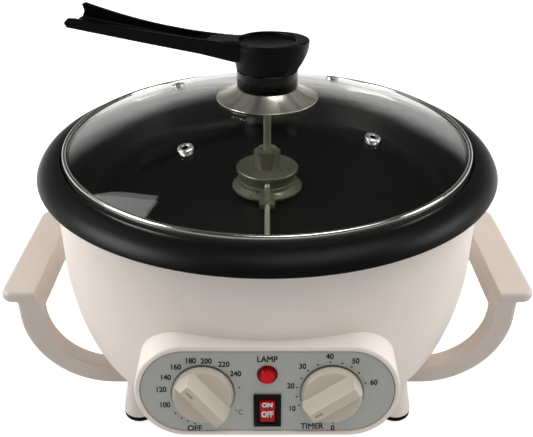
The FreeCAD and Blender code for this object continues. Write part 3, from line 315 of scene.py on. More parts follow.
def turning_tree():
    """Geometry Nodes: copies of the mesh turned about the Z axis, evenly spaced from Start."""
    tree = bpy.data.node_groups.new("copies round Z", "GeometryNodeTree")
    for label, kind in (("Geometry", "NodeSocketGeometry"), ("Count", "NodeSocketInt"),
                        ("Start", "NodeSocketFloat"), ("Finish", "NodeSocketMaterial")):
        tree.interface.new_socket(label, in_out="INPUT", socket_type=kind)
    tree.interface.new_socket("Geometry", in_out="OUTPUT", socket_type="NodeSocketGeometry")
    given = node(tree, "NodeGroupInput").outputs
    spots = node(tree, "GeometryNodePoints", {"Count": given["Count"]})
    index = node(tree, "GeometryNodeInputIndex").outputs["Index"]
    pitch = node(tree, "ShaderNodeMath", {0: 2 * math.pi, 1: given["Count"]}, operation="DIVIDE")
    turn = node(tree, "ShaderNodeMath", {0: index, 1: pitch.outputs[0], 2: given["Start"]},
                operation="MULTIPLY_ADD")
    spin = node(tree, "FunctionNodeAxisAngleToRotation", {
        "Axis": (0.0, 0.0, 1.0), "Angle": turn.outputs[0]})
    copies = node(tree, "GeometryNodeInstanceOnPoints", {
        "Points": spots.outputs[0], "Instance": given["Geometry"],
        "Rotation": spin.outputs["Rotation"]})
    solid = node(tree, "GeometryNodeRealizeInstances", {"Geometry": copies.outputs[0]})
    coloured = node(tree, "GeometryNodeSetMaterial", {
        "Geometry": solid.outputs[0], "Material": given["Finish"]})
    node(tree, "NodeGroupOutput", {"Geometry": coloured.outputs[0]})
    return tree


copies_round_z = turning_tree()


def repeated(mesh, count, start, material):
    """Copies of a mesh about the Z axis, the first one turned to start in degrees."""
    holder = placed("holder", mesh)
    modifier = holder.modifiers.new("copies", "NODES")
    modifier.node_group = copies_round_z
    values = {"Count": count, "Start": math.radians(start), "Finish": material}
    for socket in copies_round_z.interface.items_tree:
        if socket.in_out == "INPUT" and socket.name in values:
            modifier[socket.identifier] = values[socket.name]
    return settled(holder)


def metal(name, colour, roughness, grain, depth, stretch=(1, 1, 1), bare=1.0):
    """Bare or plated metal. The marks of its making are a noise of the given spacing and depth in
    millimetres, drawn out along an axis where stretch is below one. Where bare is below one, oil
    or grime dulls its shine."""
    material, tree, shader, place = surface(name, {
        "Base Color": linear(colour), "Metallic": bare, "Roughness": roughness})
    drawn = node(tree, "ShaderNodeMapping", {"Vector": place, "Scale": stretch})
    marks = node(tree, "ShaderNodeTexNoise", {
        "Vector": drawn.outputs["Vector"], "Scale": 1 / (grain * MM),
        "Detail": 4.0}).outputs["Fac"]
    textured(tree, shader, marks, roughness * 0.75, roughness * 1.3, depth)
    return material


# Zinc plate: a bluish grey that is bright but never mirror-like.
zinc_plate = metal("bright zinc-plated steel", "#B9BCC0", roughness=0.32, grain=0.5, depth=0.004)
HEAD_RADIUS, HEAD_HIGH, SHANK_RADIUS, SHANK_LENGTH = 3.0, 1.6, 1.5, 5.6
CROSS_LONG, CROSS_WIDE, CROSS_DEEP = 3.2, 0.7, 0.7
BASE_SCREW_CIRCLE, BASE_SCREW_Z = 82.5, 9.5
LEG_SCREW_X, LEG_SCREW_Y, LEG_SCREW_Z = 81.0, 50.5, 7.9


def beside(mesh, reach):
    """Move a mesh from the axis out along X."""
    mesh.transform(Matrix.Translation((reach * MM, 0, 0)))
    return mesh


def at_corners(mesh, angle, material):
    """Four copies of a mesh about the axis, as at the corners of a rectangle."""
    return joined(repeated(mesh, 2, angle, material), repeated(mesh, 2, -angle, material))


def polar(x, y):
    """Distance from the axis, and angle in degrees."""
    return math.hypot(x, y), math.degrees(math.atan2(y, x))


def pan_head(reach, z):
    """Cross-recess screw, head down, with its bearing face at height z."""
    turned = lathe(rounded([
        (0, z - HEAD_HIGH), (2.0, z - HEAD_HIGH, 1.6), (HEAD_RADIUS, z - 0.7, 0.5),
        (HEAD_RADIUS, z), (SHANK_RADIUS, z), (SHANK_RADIUS, z + SHANK_LENGTH),
        (0, z + SHANK_LENGTH)]), steps=32)
    cross = [block(long, wide, 2 * CROSS_DEEP, z=z - HEAD_HIGH)
             for long, wide in ((CROSS_LONG, CROSS_WIDE), (CROSS_WIDE, CROSS_LONG))]
    return beside(combined("DIFFERENCE", turned, *cross), reach)


leg_reach, leg_angle = polar(LEG_SCREW_X, LEG_SCREW_Y)
piece("pan_head_screws", joined(
    repeated(pan_head(BASE_SCREW_CIRCLE, BASE_SCREW_Z), 6, 0, zinc_plate),
    at_corners(pan_head(leg_reach, LEG_SCREW_Z), leg_angle, zinc_plate)),
    zinc_plate, "roaster", "base_screws", slot="zinc_screws")

# ---------------------------------------------------------------- feet
# Four posts that widen downwards stand under the bowl, moulded in the bowl's own plastic. Each
# ends in a pushed-on black rubber pad with a chamfered tread edge.
FOOT_X, FOOT_Y = 84.4, 74.8
POST_LOW, POST_HIGH, POST_LOW_Z, POST_HIGH_Z = 10.7, 5.5, 4.0, 34.0
PAD_RADIUS, TREAD_GROOVE = 10.5, 0.35
BOWL_BASE_Z, BASE_ARC, WAIST_ARC = 12, 59.2, 168.1
bowl_base, bowl_waist = (100, BOWL_BASE_Z), (127, 44)
bowl_shoulder, bowl_top = (136.6, 100), (136.6, 156.5)
bowl_outline = [(0, BOWL_BASE_Z), bowl_base, *arc(bowl_base, bowl_waist, BASE_ARC),
                *arc(bowl_waist, bowl_shoulder, WAIST_ARC), bowl_top, (0, bowl_top[1])]
foot_reach, foot_angle = polar(FOOT_X, FOOT_Y)
post = beside(lathe(rounded([
    (0, POST_LOW_Z), (POST_LOW, POST_LOW_Z, 0.6), (POST_HIGH, POST_HIGH_Z), (0, POST_HIGH_Z)]),
    steps=96), foot_reach)
# The post ends at the bowl's skin, so its top is cut to that curve.
post = combined("DIFFERENCE", post, lathe(bowl_outline, steps=384))
piece("flared_posts", at_corners(post, foot_angle, bowl_plastic), bowl_plastic, "roaster",
      "foot_posts", slot="bowl_plastic")

# Moulded rubber: nearly black, dry and soft-edged, with a faint dusty bloom.
pad_rubber = moulded(
    "moulded black rubber", "#0B0B0B",
    roughness=0.72, grain=0.8, depth=0.03, drift=0.12, shine=0.15)
pad = beside(lathe(rounded([
    (0, 0), (PAD_RADIUS - 1.0, 0, 0.4), (PAD_RADIUS, 1.2, 0.5), (PAD_RADIUS, 2.5, 0.15),
    (PAD_RADIUS - TREAD_GROOVE, 2.7, 0.15), (PAD_RADIUS - TREAD_GROOVE, 3.0, 0.15),
    (PAD_RADIUS, 3.2, 0.15), (PAD_RADIUS, POST_LOW_Z), (0, POST_LOW_Z)]), steps=72), foot_reach)
piece("tread_pads", at_corners(pad, foot_angle, pad_rubber), pad_rubber, "roaster", "foot_pads",
      slot="rubber_foot")

# ---------------------------------------------------------------- carrying handles
# Each handle is one hollow-backed moulding: a flat grip with an overhanging lip, and two legs
# that curve down and in under the bowl. Every edge has a generous radius for the hand.
GRIP_VOXEL, GRIP_ROUNDS = 0.75, 3


def smoothed(mesh, voxel, rounds):
    """Mesh rebuilt as one skin with its edges and inner corners run together."""
    return modified(mesh, ("REMESH", {"mode": "VOXEL", "voxel_size": voxel * MM}),
                    ("SMOOTH", {"factor": 0.5, "iterations": rounds}))


# The same polypropylene in a warmer batch, a little glossier where hands have polished it.
handle_plastic = moulded(
    "hand-worn cream polypropylene", "#CEC2B8", roughness=0.4, grain=0.9, depth=0.01)
right_grip = smoothed(merged("right_handle"), GRIP_VOXEL, GRIP_ROUNDS)
left_grip = right_grip.copy()
left_grip.transform(Matrix.Rotation(math.pi, 4, "Z"))
piece("right_grip", right_grip, handle_plastic, "roaster", "right_handle", slot="handle_plastic")
piece("left_grip", left_grip, handle_plastic, "roaster", "left_handle", slot="handle_plastic")

# ---------------------------------------------------------------- roasting pan
# The pan is spun from 2 mm aluminium, with a ledge for the lid, an upstanding lip and a wide
# drooping rim, and it is sprayed all over with a black non-stick coating.
FLOOR_Z, FLOOR_RADIUS, PAN_WALL = 129.0, 108.0, 2.0
HUB_HOLE, LEDGE_Z, LEDGE_IN = 7.0, 160.5, 126.0
LIP_RADIUS, LIP_Z, RIM_RADIUS, RIM_Z = 131.6, 165.0, 146.6, 154.0
OUTER_BEND, INNER_BEND, RIM_UNDER_ARC, RIM_OVER_ARC = 14, -12, -14, 16
wall_foot, wall_foot_out = (117.4, 137.6), (119.2, 136.6)
under_floor, over_floor = (FLOOR_RADIUS, FLOOR_Z - PAN_WALL), (FLOOR_RADIUS, FLOOR_Z)
under_rim, over_rim = (LIP_RADIUS + 1.6, LEDGE_Z + 1.1), (RIM_RADIUS, RIM_Z + 0.9)
rim_foot, lip_top = (RIM_RADIUS - PAN_WALL, RIM_Z), (LIP_RADIUS + 2.2, LIP_Z)
pan_outline = rounded([
    (HUB_HOLE, FLOOR_Z - PAN_WALL), under_floor, *arc(under_floor, wall_foot_out, OUTER_BEND),
    (LEDGE_IN + 0.4, LEDGE_Z - PAN_WALL, 1.2), (LIP_RADIUS + 1.6, LEDGE_Z - PAN_WALL, 0.8),
    under_rim, *arc(under_rim, rim_foot, RIM_UNDER_ARC), (RIM_RADIUS - 0.6, RIM_Z, 0.3),
    (RIM_RADIUS, RIM_Z + 0.5, 0.2), over_rim, *arc(over_rim, lip_top, RIM_OVER_ARC),
    (LIP_RADIUS + 0.25, LIP_Z, 0.45), (LIP_RADIUS - 0.3, LEDGE_Z, 0.6), (LEDGE_IN, LEDGE_Z, 0.9),
    wall_foot, *arc(wall_foot, over_floor, INNER_BEND), (HUB_HOLE, FLOOR_Z)])
# Non-stick coating: a sprayed satin black with a faint sparkle of its filler. The flakes are
# about 0.05 mm, drawn at 0.7 mm so that the grain can be seen.
pan_coating, tree, shader, place = surface("sprayed black non-stick coating", {
    "Roughness": 0.4, "Specular IOR Level": 0.16})
flakes = node(tree, "ShaderNodeTexVoronoi", {"Vector": place, "Scale": 1 / (0.7 * MM)})
spray = node(tree, "ShaderNodeTexNoise", {
    "Vector": place, "Scale": 1 / (0.9 * MM), "Detail": 3.0}).outputs["Fac"]
toned(tree, shader, "#0B0C0B", flakes.outputs["Distance"], 1.9, 1.0, start=0.05, end=0.4)
textured(tree, shader, spray, smooth=0.34, rough=0.46, depth=0.03)
piece("spun_pan", lathe(pan_outline, steps=320), pan_coating, "roaster", "roasting_pan",
      slot="pan_coating")

# Silicone: a dull brick red that takes the heat between pan and bowl, seen only as a thin line.
seal_silicone = moulded("heat-proof red silicone", "#7A2E24", roughness=0.6, grain=0.8, depth=0.02)
dress(seal_silicone, "pan_seat_ring")
# Sintered bronze: a brown metal with open pores that hold the oil.
bush_bronze = metal("oiled sintered bronze", "#8C6A44", roughness=0.45, grain=0.3, depth=0.02)
dress(bush_bronze, "pan_bush", "shaft_bushes")

# ---------------------------------------------------------------- heater and sensors
# A sheathed tube is bent to an open circle under the pan and clipped to studs, over a dished
# aluminium shield. A thermal fuse and the thermostat's bulb lie against the pan's floor.

# Nickel alloy sheath: olive grey from its oxide, dull where it glows.
element_sheath = metal(
    "oxidised nickel-alloy sheath", "#6E6A58", roughness=0.5, grain=1.4, depth=0.02)
dress(element_sheath, "heating_element")
# Turned steel: fine rings from the lathe, a little oily.
machine_steel = metal(
    "turned steel", "#A6A49C", roughness=0.3, grain=0.6, depth=0.001, stretch=(0.2, 0.2, 1.0))
dress(machine_steel, "element_clips", "pan_studs", "tie_rods", "thermal_fuse", "sensing_bulb",
      "gearbox_standoffs", "idler_pin", "drive_shaft", "temperature_shaft", "timer_shaft")
# Rolled aluminium: long faint roll lines across a pale dull sheet.
shield_sheet = metal(
    "rolled aluminium sheet", "#C9CACC",
    roughness=0.34, grain=0.7, depth=0.008, stretch=(0.04, 1.0, 1.0))
dress(shield_sheet, "heat_shield")

# ---------------------------------------------------------------- drive
# A small motor hangs under a closed gearbox, and two pairs of gears slow it down for the
# stirrer. The case is glass-filled nylon and the wheels are acetal, apart from a brass pinion.

# Acetal: an even, slightly translucent ivory with a slippery gloss.
gear_acetal = moulded("moulded ivory acetal", "#E0DCCB", roughness=0.3, grain=0.6, depth=0.008)
dress(gear_acetal, "output_gear", "idler_gear")
# Hobbed brass: cut faces, yellow and clean.
pinion_brass = metal("hobbed brass", "#C79A4A", roughness=0.25, grain=0.4, depth=0.01)
dress(pinion_brass, "motor_pinion")
# Glass-filled nylon: black with a mottled dry surface where fibres show.
case_nylon = moulded(
    "glass-filled black nylon", "#202123", roughness=0.55, grain=0.7, depth=0.03, drift=0.15)
dress(case_nylon, "gearbox_case", "gearbox_cover")
dress(zinc_plate, "case_screws", "motor_can")
# Stacked laminations: thin dark lines where the 0.5 mm sheets meet, drawn at 1 mm. The wave
# repeats at about a third of its scale.
lamination, tree, shader, place = surface("stacked steel laminations", {
    "Metallic": 1.0, "Roughness": 0.4})
sheets = node(tree, "ShaderNodeTexWave", {
    "Vector": place, "Scale": 1 / (3.2 * MM), "Distortion": 0.3}, bands_direction="Z")
toned(tree, shader, "#7D7B77", sheets.outputs["Fac"], 0.5, 1.0, start=0, end=1)
dress(lamination, "motor_stator", "motor_rotor")

# ---------------------------------------------------------------- stirrer
# A round hub turns on the drive shaft and carries two bent steel wires on pins. A notched cap
# with a hexagon on top locks it down, and the rod under the lid's knob stands in that hexagon.

# Die-cast aluminium: grey, tumbled smooth, stained brownish by oil from the beans.
stirrer_metal = metal(
    "tumbled die-cast aluminium", "#8B8776", roughness=0.34, grain=2.5, depth=0.0006, bare=0.75)
HUB_IN, HUB_OUT, HUB_LOW, HUB_TOP = 12, 19.2, 134.0, 141
GROOVE_LOW, GROOVE_TOP, GROOVE_SLOPE, GROOVE_DEEP = 137.2, 138.6, 0.4, 0.6
hub_neck = lathe(rounded([
    (HUB_IN, HUB_LOW), (HUB_OUT, HUB_LOW), (HUB_OUT, GROOVE_LOW, 0.2),
    (HUB_OUT - GROOVE_DEEP, GROOVE_LOW + GROOVE_SLOPE),
    (HUB_OUT - GROOVE_DEEP, GROOVE_TOP - GROOVE_SLOPE), (HUB_OUT, GROOVE_TOP, 0.2),
    (HUB_OUT, HUB_TOP), (HUB_IN, HUB_TOP)]), steps=96)
piece("stirring_hub", combined("UNION", softened("stir_hub", 0.5), hub_neck), stirrer_metal,
      "stirrer", "stir_hub", slot="stirrer_metal")
piece("notched_cap", softened("stir_cap", 0.5), stirrer_metal, "stirrer", "stir_cap",
      slot="stirrer_metal")
# Stainless wire: drawn, so its marks run along it, and tinted by oil like the hub.
drawn_wire = metal(
    "drawn stainless wire", "#A5A190",
    roughness=0.34, grain=0.6, depth=0.0006, stretch=(0.2, 0.2, 1.0), bare=0.4)
dress(drawn_wire, "arm_pins", "stir_wires", "hold_down_rod")

# ---------------------------------------------------------------- control housing
# The housing is a bar with round ends that grows out of the bowl's front and leans back a
# little. It is moulded in the bowl's plastic, with a rounded front edge round the fascia.
joints = {joint["name"]: joint for joint in frame["joints"]}
DIAL_DROP = 0.8                # the dials' axes lie this far below the panel's middle
right = Vector((1, 0, 0))
inward = -Vector(joints["temperature_turn"]["axis"])
up = right.cross(inward)
dial_axes = [Vector(joints[name]["pos_m"]) for name in ("temperature_turn", "timer_turn")]
panel_middle = (dial_axes[0] + dial_axes[1]) / 2 + up * DIAL_DROP * MM
panel = Matrix((right, inward, up)).transposed().to_4x4()
panel.translation = panel_middle
DIAL_PITCH = dial_axes[1].x / MM


def on_panel(mesh, x=0.0, y=0.0, z=0.0, turn=None):
    """Move a mesh from its own origin to a place on the panel: x right, y inward, z up."""
    mesh.transform(panel @ Matrix.Translation(Vector((x, y, z)) * MM) @ (turn or Matrix()))
    return mesh


POD_WIDTH, POD_HEIGHT, POD_DEPTH, POD_WALL, POD_DRAFT = 142.2, 54.7, 44.0, 5.0, 2.5
END_STEPS = 48                 # faces round each end


def racetrack(section):
    """Ring with straight sides and round ends. Its section is a closed list of (grow, depth):
    the distance outside the housing's front, and the depth behind the panel."""
    reaches = [(POD_HEIGHT / 2 + grow, depth) for grow, depth in section]
    rings = []
    for place in range(2 * END_STEPS + 2):
        left = place > END_STEPS
        angle = math.pi * ((place - left) / END_STEPS - 0.5)
        centre = (POD_WIDTH - POD_HEIGHT) / 2 * (-1 if left else 1)
        rings.append([(centre + reach * math.cos(angle), depth, reach * math.sin(angle))
                      for reach, depth in reaches])
    return swept(rings)


FASCIA_INSET, FASCIA_FRONT, FASCIA_THICK, FASCIA_GAP = 3.1, 0.7, 1.5, 0.35
rebate, fascia_back = FASCIA_GAP - FASCIA_INSET, FASCIA_FRONT + FASCIA_THICK
pod = racetrack(rounded([
    (POD_DRAFT, POD_DEPTH), (0, 0, 1.5), (rebate, 0, 0.5), (rebate, fascia_back),
    (-POD_WALL, fascia_back), (-POD_WALL, POD_DEPTH)]))
piece("control_pod", on_panel(pod), bowl_plastic, "roaster", "control_housing",
      slot="bowl_plastic")

# ---------------------------------------------------------------- fascia and its markings
# A flat plate with round ends drops into the front of the housing, painted silver grey. The
# scales and words are screen-printed on it in black.

# Metallic paint: a cool grey under a satin lacquer. The aluminium flake in it is far finer than
# the 0.6 mm at which it is drawn.
fascia_paint, tree, shader, place = surface("silver-grey lacquered plate", {
    "Roughness": 0.4, "Metallic": 0.25})
flake = node(tree, "ShaderNodeTexNoise", {
    "Vector": place, "Scale": 1 / (0.6 * MM), "Detail": 2.0}).outputs["Fac"]
toned(tree, shader, "#B0B2AC", flake, 0.94, 1.06)
relief = node(tree, "ShaderNodeBump", {
    "Height": flake, "Distance": 0.006 * MM, "Strength": 1.0})
tree.links.new(relief.outputs["Normal"], shader.inputs["Normal"])

SHAFT_HOLE, LAMP_HOLE, LAMP_Z = 4.0, 4.6, 10.5
DIAL_RECESS, RECESS_DEEP = 17.2, 1.35         # a shallow recess lies under each dial
ROCKER_Z, SWITCH_WIDTH, SWITCH_HEIGHT = -11.3, 12.4, 17.8
CLEAR = 6.0                    # a cutter reaches this far on both sides of the panel's plane
facing = Matrix.Rotation(math.radians(90), 4, "X")     # turns a mesh's top to face out of the panel


def drilled(radius, x, z, deep=CLEAR):
    """Round cutter from in front of the plate to a depth behind the panel's plane."""
    cutter = lathe([(0, -deep), (radius, -deep), (radius, CLEAR), (0, CLEAR)], steps=96)
    cutter.transform(Matrix.Translation((x * MM, 0, z * MM)) @ facing)
    return cutter


plate = racetrack(rounded([
    (-POD_HEIGHT / 2, FASCIA_FRONT), (-FASCIA_INSET, FASCIA_FRONT, 0.3),
    (-FASCIA_INSET, fascia_back), (-POD_HEIGHT / 2, fascia_back)]))
recess_floor = FASCIA_FRONT + RECESS_DEEP
plate = combined("DIFFERENCE", plate, drilled(SHAFT_HOLE, -DIAL_PITCH, -DIAL_DROP),
                 drilled(SHAFT_HOLE, DIAL_PITCH, -DIAL_DROP), drilled(LAMP_HOLE, 0, LAMP_Z),
                 drilled(DIAL_RECESS, -DIAL_PITCH, -DIAL_DROP, recess_floor),
                 drilled(DIAL_RECESS, DIAL_PITCH, -DIAL_DROP, recess_floor),
                 block(SWITCH_WIDTH, 2 * CLEAR, SWITCH_HEIGHT, z=ROCKER_Z))
piece("fascia", on_panel(plate), fascia_paint, "roaster", "fascia_plate", slot="fascia_plastic")

# Screen ink: flat black, a hair thick, with a slightly uneven edge to its gloss.
print_ink = moulded("black screen-printing ink", "#16181A", roughness=0.5, grain=0.5, depth=0.004)
PRINT_HIGH, CAP_SHARE = 0.05, 0.7     # thickness of the ink; capital height over font size


def word_mesh(text, capital, wide, bold):
    """Word lying face up about its middle. Four prints of it, each shifted by the distance bold
    along X and Y, make its strokes thick."""
    curve = bpy.data.curves.new(text, "FONT")
    curve.body = text
    curve.size = capital / CAP_SHARE * MM
    curve.align_x = "CENTER"
    curve.align_y = "CENTER"
    curve.extrude = PRINT_HIGH / 2 * MM
    curve.resolution_u = 4
    mesh = modified(curve)
    mesh.transform(Matrix.Diagonal((wide, 1, 1, 1)))
    copies = []
    for x, z in ((-bold, -bold), (bold, -bold), (bold, bold), (-bold, bold)):
        copy = mesh.copy()
        copy.transform(Matrix.Translation((x * MM, z * MM, 0)))
        copies.append(copy)
    return joined(*copies)


NUMERAL, WORD, DOT, BOLD, NARROW = 3.1, 3.5, 0.5, 0.12, 0.9


def lettering(text, capital, x, z, bold=BOLD):
    """Printed word on the panel, centred at x and z, with capitals of that height."""
    return on_panel(word_mesh(text, capital, NARROW, bold), x, FASCIA_FRONT - PRINT_HIGH / 2, z,
                    facing)


def scale_dot(x, z):
    dot = lathe([(0, 0), (DOT, 0), (DOT, PRINT_HIGH), (0, PRINT_HIGH)], steps=20)
    return on_panel(dot, x, FASCIA_FRONT, z, facing)


def round_dial(middle, angle, reach):
    """Place on the panel at an angle and a distance from the axis of the dial at middle."""
    turn = math.radians(angle)
    return middle + reach * math.cos(turn), reach * math.sin(turn) - DIAL_DROP


# Each mark's angle from panel right and its distance from the dial's axis.
temperature_marks = [("OFF", 257, 23.0), ("100", 200, 22.1), ("120", 175, 22.5),
                     ("140", 154.5, 21.8), ("160", 132, 21.1), ("180", 107.5, 20.4),
                     ("200", 83.5, 19.4), ("220", 56.5, 20.8), ("240", 33.5, 21.1)]
timer_marks = [("0", 273, 22.1), ("10", 205, 23.3), ("20", 169, 22.3), ("30", 134.5, 22.6),
               ("40", 94, 22.1), ("50", 58, 22.8), ("60", 16, 23.1)]
# The dots' angles, and the circle that they lie on.
temperature_dots, TEMPERATURE_CIRCLE = [10.0, 219.9, 232.7, 243.8, 255.5], 19.8
timer_dots = [273.3, 204.3, 187.1, 169.9, 151.1, 133.6, 114.3, 93.6, 74.3, 57.4, 40.7, 18.9]
TIMER_CIRCLE = 18.8
LAMP_WORD_X, LAMP_WORD_Z, TIMER_WORD_X, TIMER_WORD_Z = -0.1, 19.5, 24.2, -21.8
DEGREE_X, DEGREE_Z = -15.2, -13.0
marks = [lettering("LAMP", WORD, LAMP_WORD_X, LAMP_WORD_Z),
         lettering("TIMER", WORD, TIMER_WORD_X, TIMER_WORD_Z),
         lettering("°C", NUMERAL, DEGREE_X, DEGREE_Z, bold=0.0)]
for middle, numerals, dots, dot_circle in (
        (-DIAL_PITCH, temperature_marks, temperature_dots, TEMPERATURE_CIRCLE),
        (DIAL_PITCH, timer_marks, timer_dots, TIMER_CIRCLE)):
    for text, angle, reach in numerals:
        capital = WORD if text == "OFF" else NUMERAL
        marks.append(lettering(text, capital, *round_dial(middle, angle, reach)))
    for angle in dots:
        marks.append(scale_dot(*round_dial(middle, angle, dot_circle)))
piece("printed_scales", joined(*marks), print_ink, "roaster", slot="fascia_plastic")

# ---------------------------------------------------------------- dials
# Each dial is a low round skirt with a tapered finger bar across it, cut off flush with the skirt,
# and a small index mark let into the bar near one end. They are moulded in cream and pushed on.
SKIRT_RADIUS, SKIRT_EDGE, SKIRT_HIGH, SKIRT_SLOPE, SHAFT_RADIUS = 16.4, 1.6, 4.4, 1.2, 3.0
BAR_REACH, BAR_HALF, BAR_BASE, BAR_TOP = 17.0, 7.0, 3.4, 12.7
BAR_TOP_LEFT, BAR_TOP_RIGHT, BAR_TOP_HALF = -15.0, 13.6, 2.8
KEEP_TOP_RADIUS, KEEP_SHOULDER = 14.6, 7.5
INDEX_PLACE, INDEX_LENGTH, INDEX_WIDE, INDEX_DEEP = 9.15, 4.5, 1.2, 0.9
DIAL_VOXEL, DIAL_ROUNDS = 0.3, 4
TEMPERATURE_REST, TIMER_REST = 131, 214       # degrees from panel right to the bar's index end
DIAL_BACK = 0.1                # the dial's back lies this far behind the panel's plane


def finger_dial():
    """Dial standing on its back, with its bar along X."""
    skirt = lathe(rounded([
        (SHAFT_RADIUS, 0), (SKIRT_RADIUS, 0), (SKIRT_RADIUS, SKIRT_EDGE, 0.5),
        (SKIRT_RADIUS - SKIRT_SLOPE, SKIRT_HIGH, 1.0), (SHAFT_RADIUS, SKIRT_HIGH)]), steps=160)
    corners = []
    for height, start, end, half in ((BAR_BASE, -BAR_REACH, BAR_REACH, BAR_HALF),
                                     (BAR_TOP, BAR_TOP_LEFT, BAR_TOP_RIGHT, BAR_TOP_HALF)):
        corners += [(x * MM, y * MM, height * MM)
                    for x, y in ((start, -half), (end, -half), (end, half), (start, half))]
    bar = mesh_from(corners, [(0, 3, 2, 1), (4, 5, 6, 7), (0, 1, 5, 4), (1, 2, 6, 5),
                              (2, 3, 7, 6), (3, 0, 4, 7)])
    keep = lathe(rounded([
        (0, 0), (SKIRT_RADIUS, 0), (SKIRT_RADIUS, KEEP_SHOULDER, 4.0),
        (KEEP_TOP_RADIUS, BAR_TOP + 1, 1.5), (0, BAR_TOP + 1)]), steps=160)
    bar = combined("INTERSECT", bar, keep)
    dial = smoothed(combined("UNION", skirt, bar), DIAL_VOXEL, DIAL_ROUNDS)
    index = block(INDEX_LENGTH, INDEX_WIDE, 2 * INDEX_DEEP, INDEX_PLACE, 0, BAR_TOP)
    return combined("DIFFERENCE", dial, index)


# ABS: an even cream with a soft sheen, glossier than the bowl.
dial_plastic = moulded("moulded cream ABS", "#C8BCAD", roughness=0.33, grain=0.6, depth=0.006)
for name, node_name, body, x, angle in (
        ("temperature_knob", "temperature_dial", "temperature_knob", -DIAL_PITCH, TEMPERATURE_REST),
        ("minute_knob", "timer_dial", "timer_knob", DIAL_PITCH, TIMER_REST)):
    dial = on_panel(finger_dial(), x, DIAL_BACK, -DIAL_DROP,
                    facing @ Matrix.Rotation(math.radians(angle), 4, "Z"))
    piece(name, dial, dial_plastic, body, node_name, slot="dial_plastic")

# ---------------------------------------------------------------- pilot lamp
# A neon lamp in a red plastic body: a flat flange on the fascia and a raised lens. Its flanks and
# the flange are painted darker than its top, as painted shade.
BEZEL_RADIUS, BEZEL_BORE, BEZEL_BACK, SEAT = 5.6, 3.9, -10, -0.4       # the lens lies on the seat
LENS_RADIUS, LENS_TOP_RADIUS, LENS_HIGH, STEM_RADIUS, STEM_BACK = 4.7, 3.9, 3.1, 3.8, -6
sleeve = LAMP_HOLE - 0.1
lamp_bezel = lathe(rounded([
    (BEZEL_BORE, BEZEL_BACK), (sleeve, BEZEL_BACK), (sleeve, -0.7), (BEZEL_RADIUS, -0.7),
    (BEZEL_RADIUS, 0.5, 0.5), (LENS_RADIUS, 0.6, 0.2), (LENS_RADIUS, SEAT), (BEZEL_BORE, SEAT)]),
    steps=96)
lamp_lens = lathe(rounded([
    (0, STEM_BACK), (STEM_RADIUS, STEM_BACK), (STEM_RADIUS, SEAT + 0.1), (LENS_RADIUS, SEAT + 0.1),
    (LENS_RADIUS - 0.1, 0.8, 0.4), (LENS_TOP_RADIUS, LENS_HIGH, 0.7), (0, LENS_HIGH)]), steps=96)
# Clear red acrylic: saturated and bright on its flat top, and darkened to a deep wine red on its
# sides and the flange as painted shade, by the distance from the lamp's axis.
BRIGHT_TO, SHADE_FROM = 3.3, 4.3
lamp_acrylic, tree, shader, place = surface("clear red acrylic", {
    "Roughness": 0.2, "Specular IOR Level": 0.2})
lamp_centre = panel @ (Vector((0, 0, LAMP_Z)) * MM)
centred = node(tree, "ShaderNodeMapping", {"Vector": place, "Location": -lamp_centre})
parts = node(tree, "ShaderNodeVectorMath", {0: centred.outputs["Vector"], 1: inward},
             operation="DOT_PRODUCT")
along = node(tree, "ShaderNodeVectorMath", {0: inward, "Scale": parts.outputs["Value"]},
             operation="SCALE")
off_axis = node(tree, "ShaderNodeVectorMath", {
    0: centred.outputs["Vector"], 1: along.outputs[0]}, operation="DISTANCE")
# Painted shade: the red darkens from the lens's flat top out to its sides and the flange.
toned(tree, shader, "#D0040C", off_axis.outputs["Value"], 1.0, 0.3,
      start=BRIGHT_TO * MM, end=SHADE_FROM * MM)
for name, mesh, node_name in (("lamp_flange", lamp_bezel, "lamp_bezel"),
                              ("lamp_cap", lamp_lens, "lamp_lens")):
    piece(name, on_panel(mesh, 0, FASCIA_FRONT, LAMP_Z, facing), lamp_acrylic, "roaster",
          node_name, slot="red_plastic")

# ---------------------------------------------------------------- rocker switch
# A snap-in switch: a black frame with a raised rim, and a red button dished to a shallow V that
# tips on a pivot inside it. ON and OFF are printed in white on its two faces.
black_plastic = moulded(
    "matt black glass-filled nylon", "#050605",
    roughness=0.36, grain=0.8, depth=0.006, drift=0.1, shine=0.15)
piece("switch_frame", softened("rocker_frame", 0.45), black_plastic, "roaster", "rocker_frame",
      slot="black_plastic")
# Red polycarbonate: deep and slightly translucent, polished by fingers.
rocker_plastic = moulded(
    "polished red polycarbonate", "#A8060C", roughness=0.26, grain=0.8, depth=0.004, shine=0.25)
piece("switch_button", softened("rocker_button", 0.5), rocker_plastic, "rocker", "rocker_button",
      slot="red_plastic")
white_ink = moulded(
    "white pad-printing ink", "#FFFFFF", roughness=0.45, grain=0.5, depth=0.004, drift=0.01)
ROCKER_TILT, ROCKER_PIVOT = 7.0, 3.4          # the tilt at rest; the pivot's depth
FACE_FRONT, FACE_RISE, FACE_HALF = 3.4, 1.2, 6.7       # the V's middle before the pivot, its slope
ROCKER_WORD, ROCKER_NARROW, ROCKER_BOLD, ON_Z, OFF_Z = 3.4, 0.75, 0.17, 4.7, -2.1
slant = math.atan2(FACE_RISE, FACE_HALF)
rocker_tilt = Matrix.Rotation(math.radians(ROCKER_TILT), 4, "X")
words = []
for text, z in (("ON", ON_Z), ("OFF", OFF_Z)):
    face_y = -FACE_FRONT - abs(z) * FACE_RISE / FACE_HALF - PRINT_HIGH / 2
    word = word_mesh(text, ROCKER_WORD, ROCKER_NARROW, ROCKER_BOLD)
    word.transform(Matrix.Translation(Vector((0, face_y, z)) * MM)
                   @ Matrix.Rotation(math.pi / 2 + math.copysign(slant, z), 4, "X"))
    words.append(on_panel(word, 0, ROCKER_PIVOT, ROCKER_Z, rocker_tilt))
piece("switch_words", joined(*words), white_ink, "rocker", slot="red_plastic")

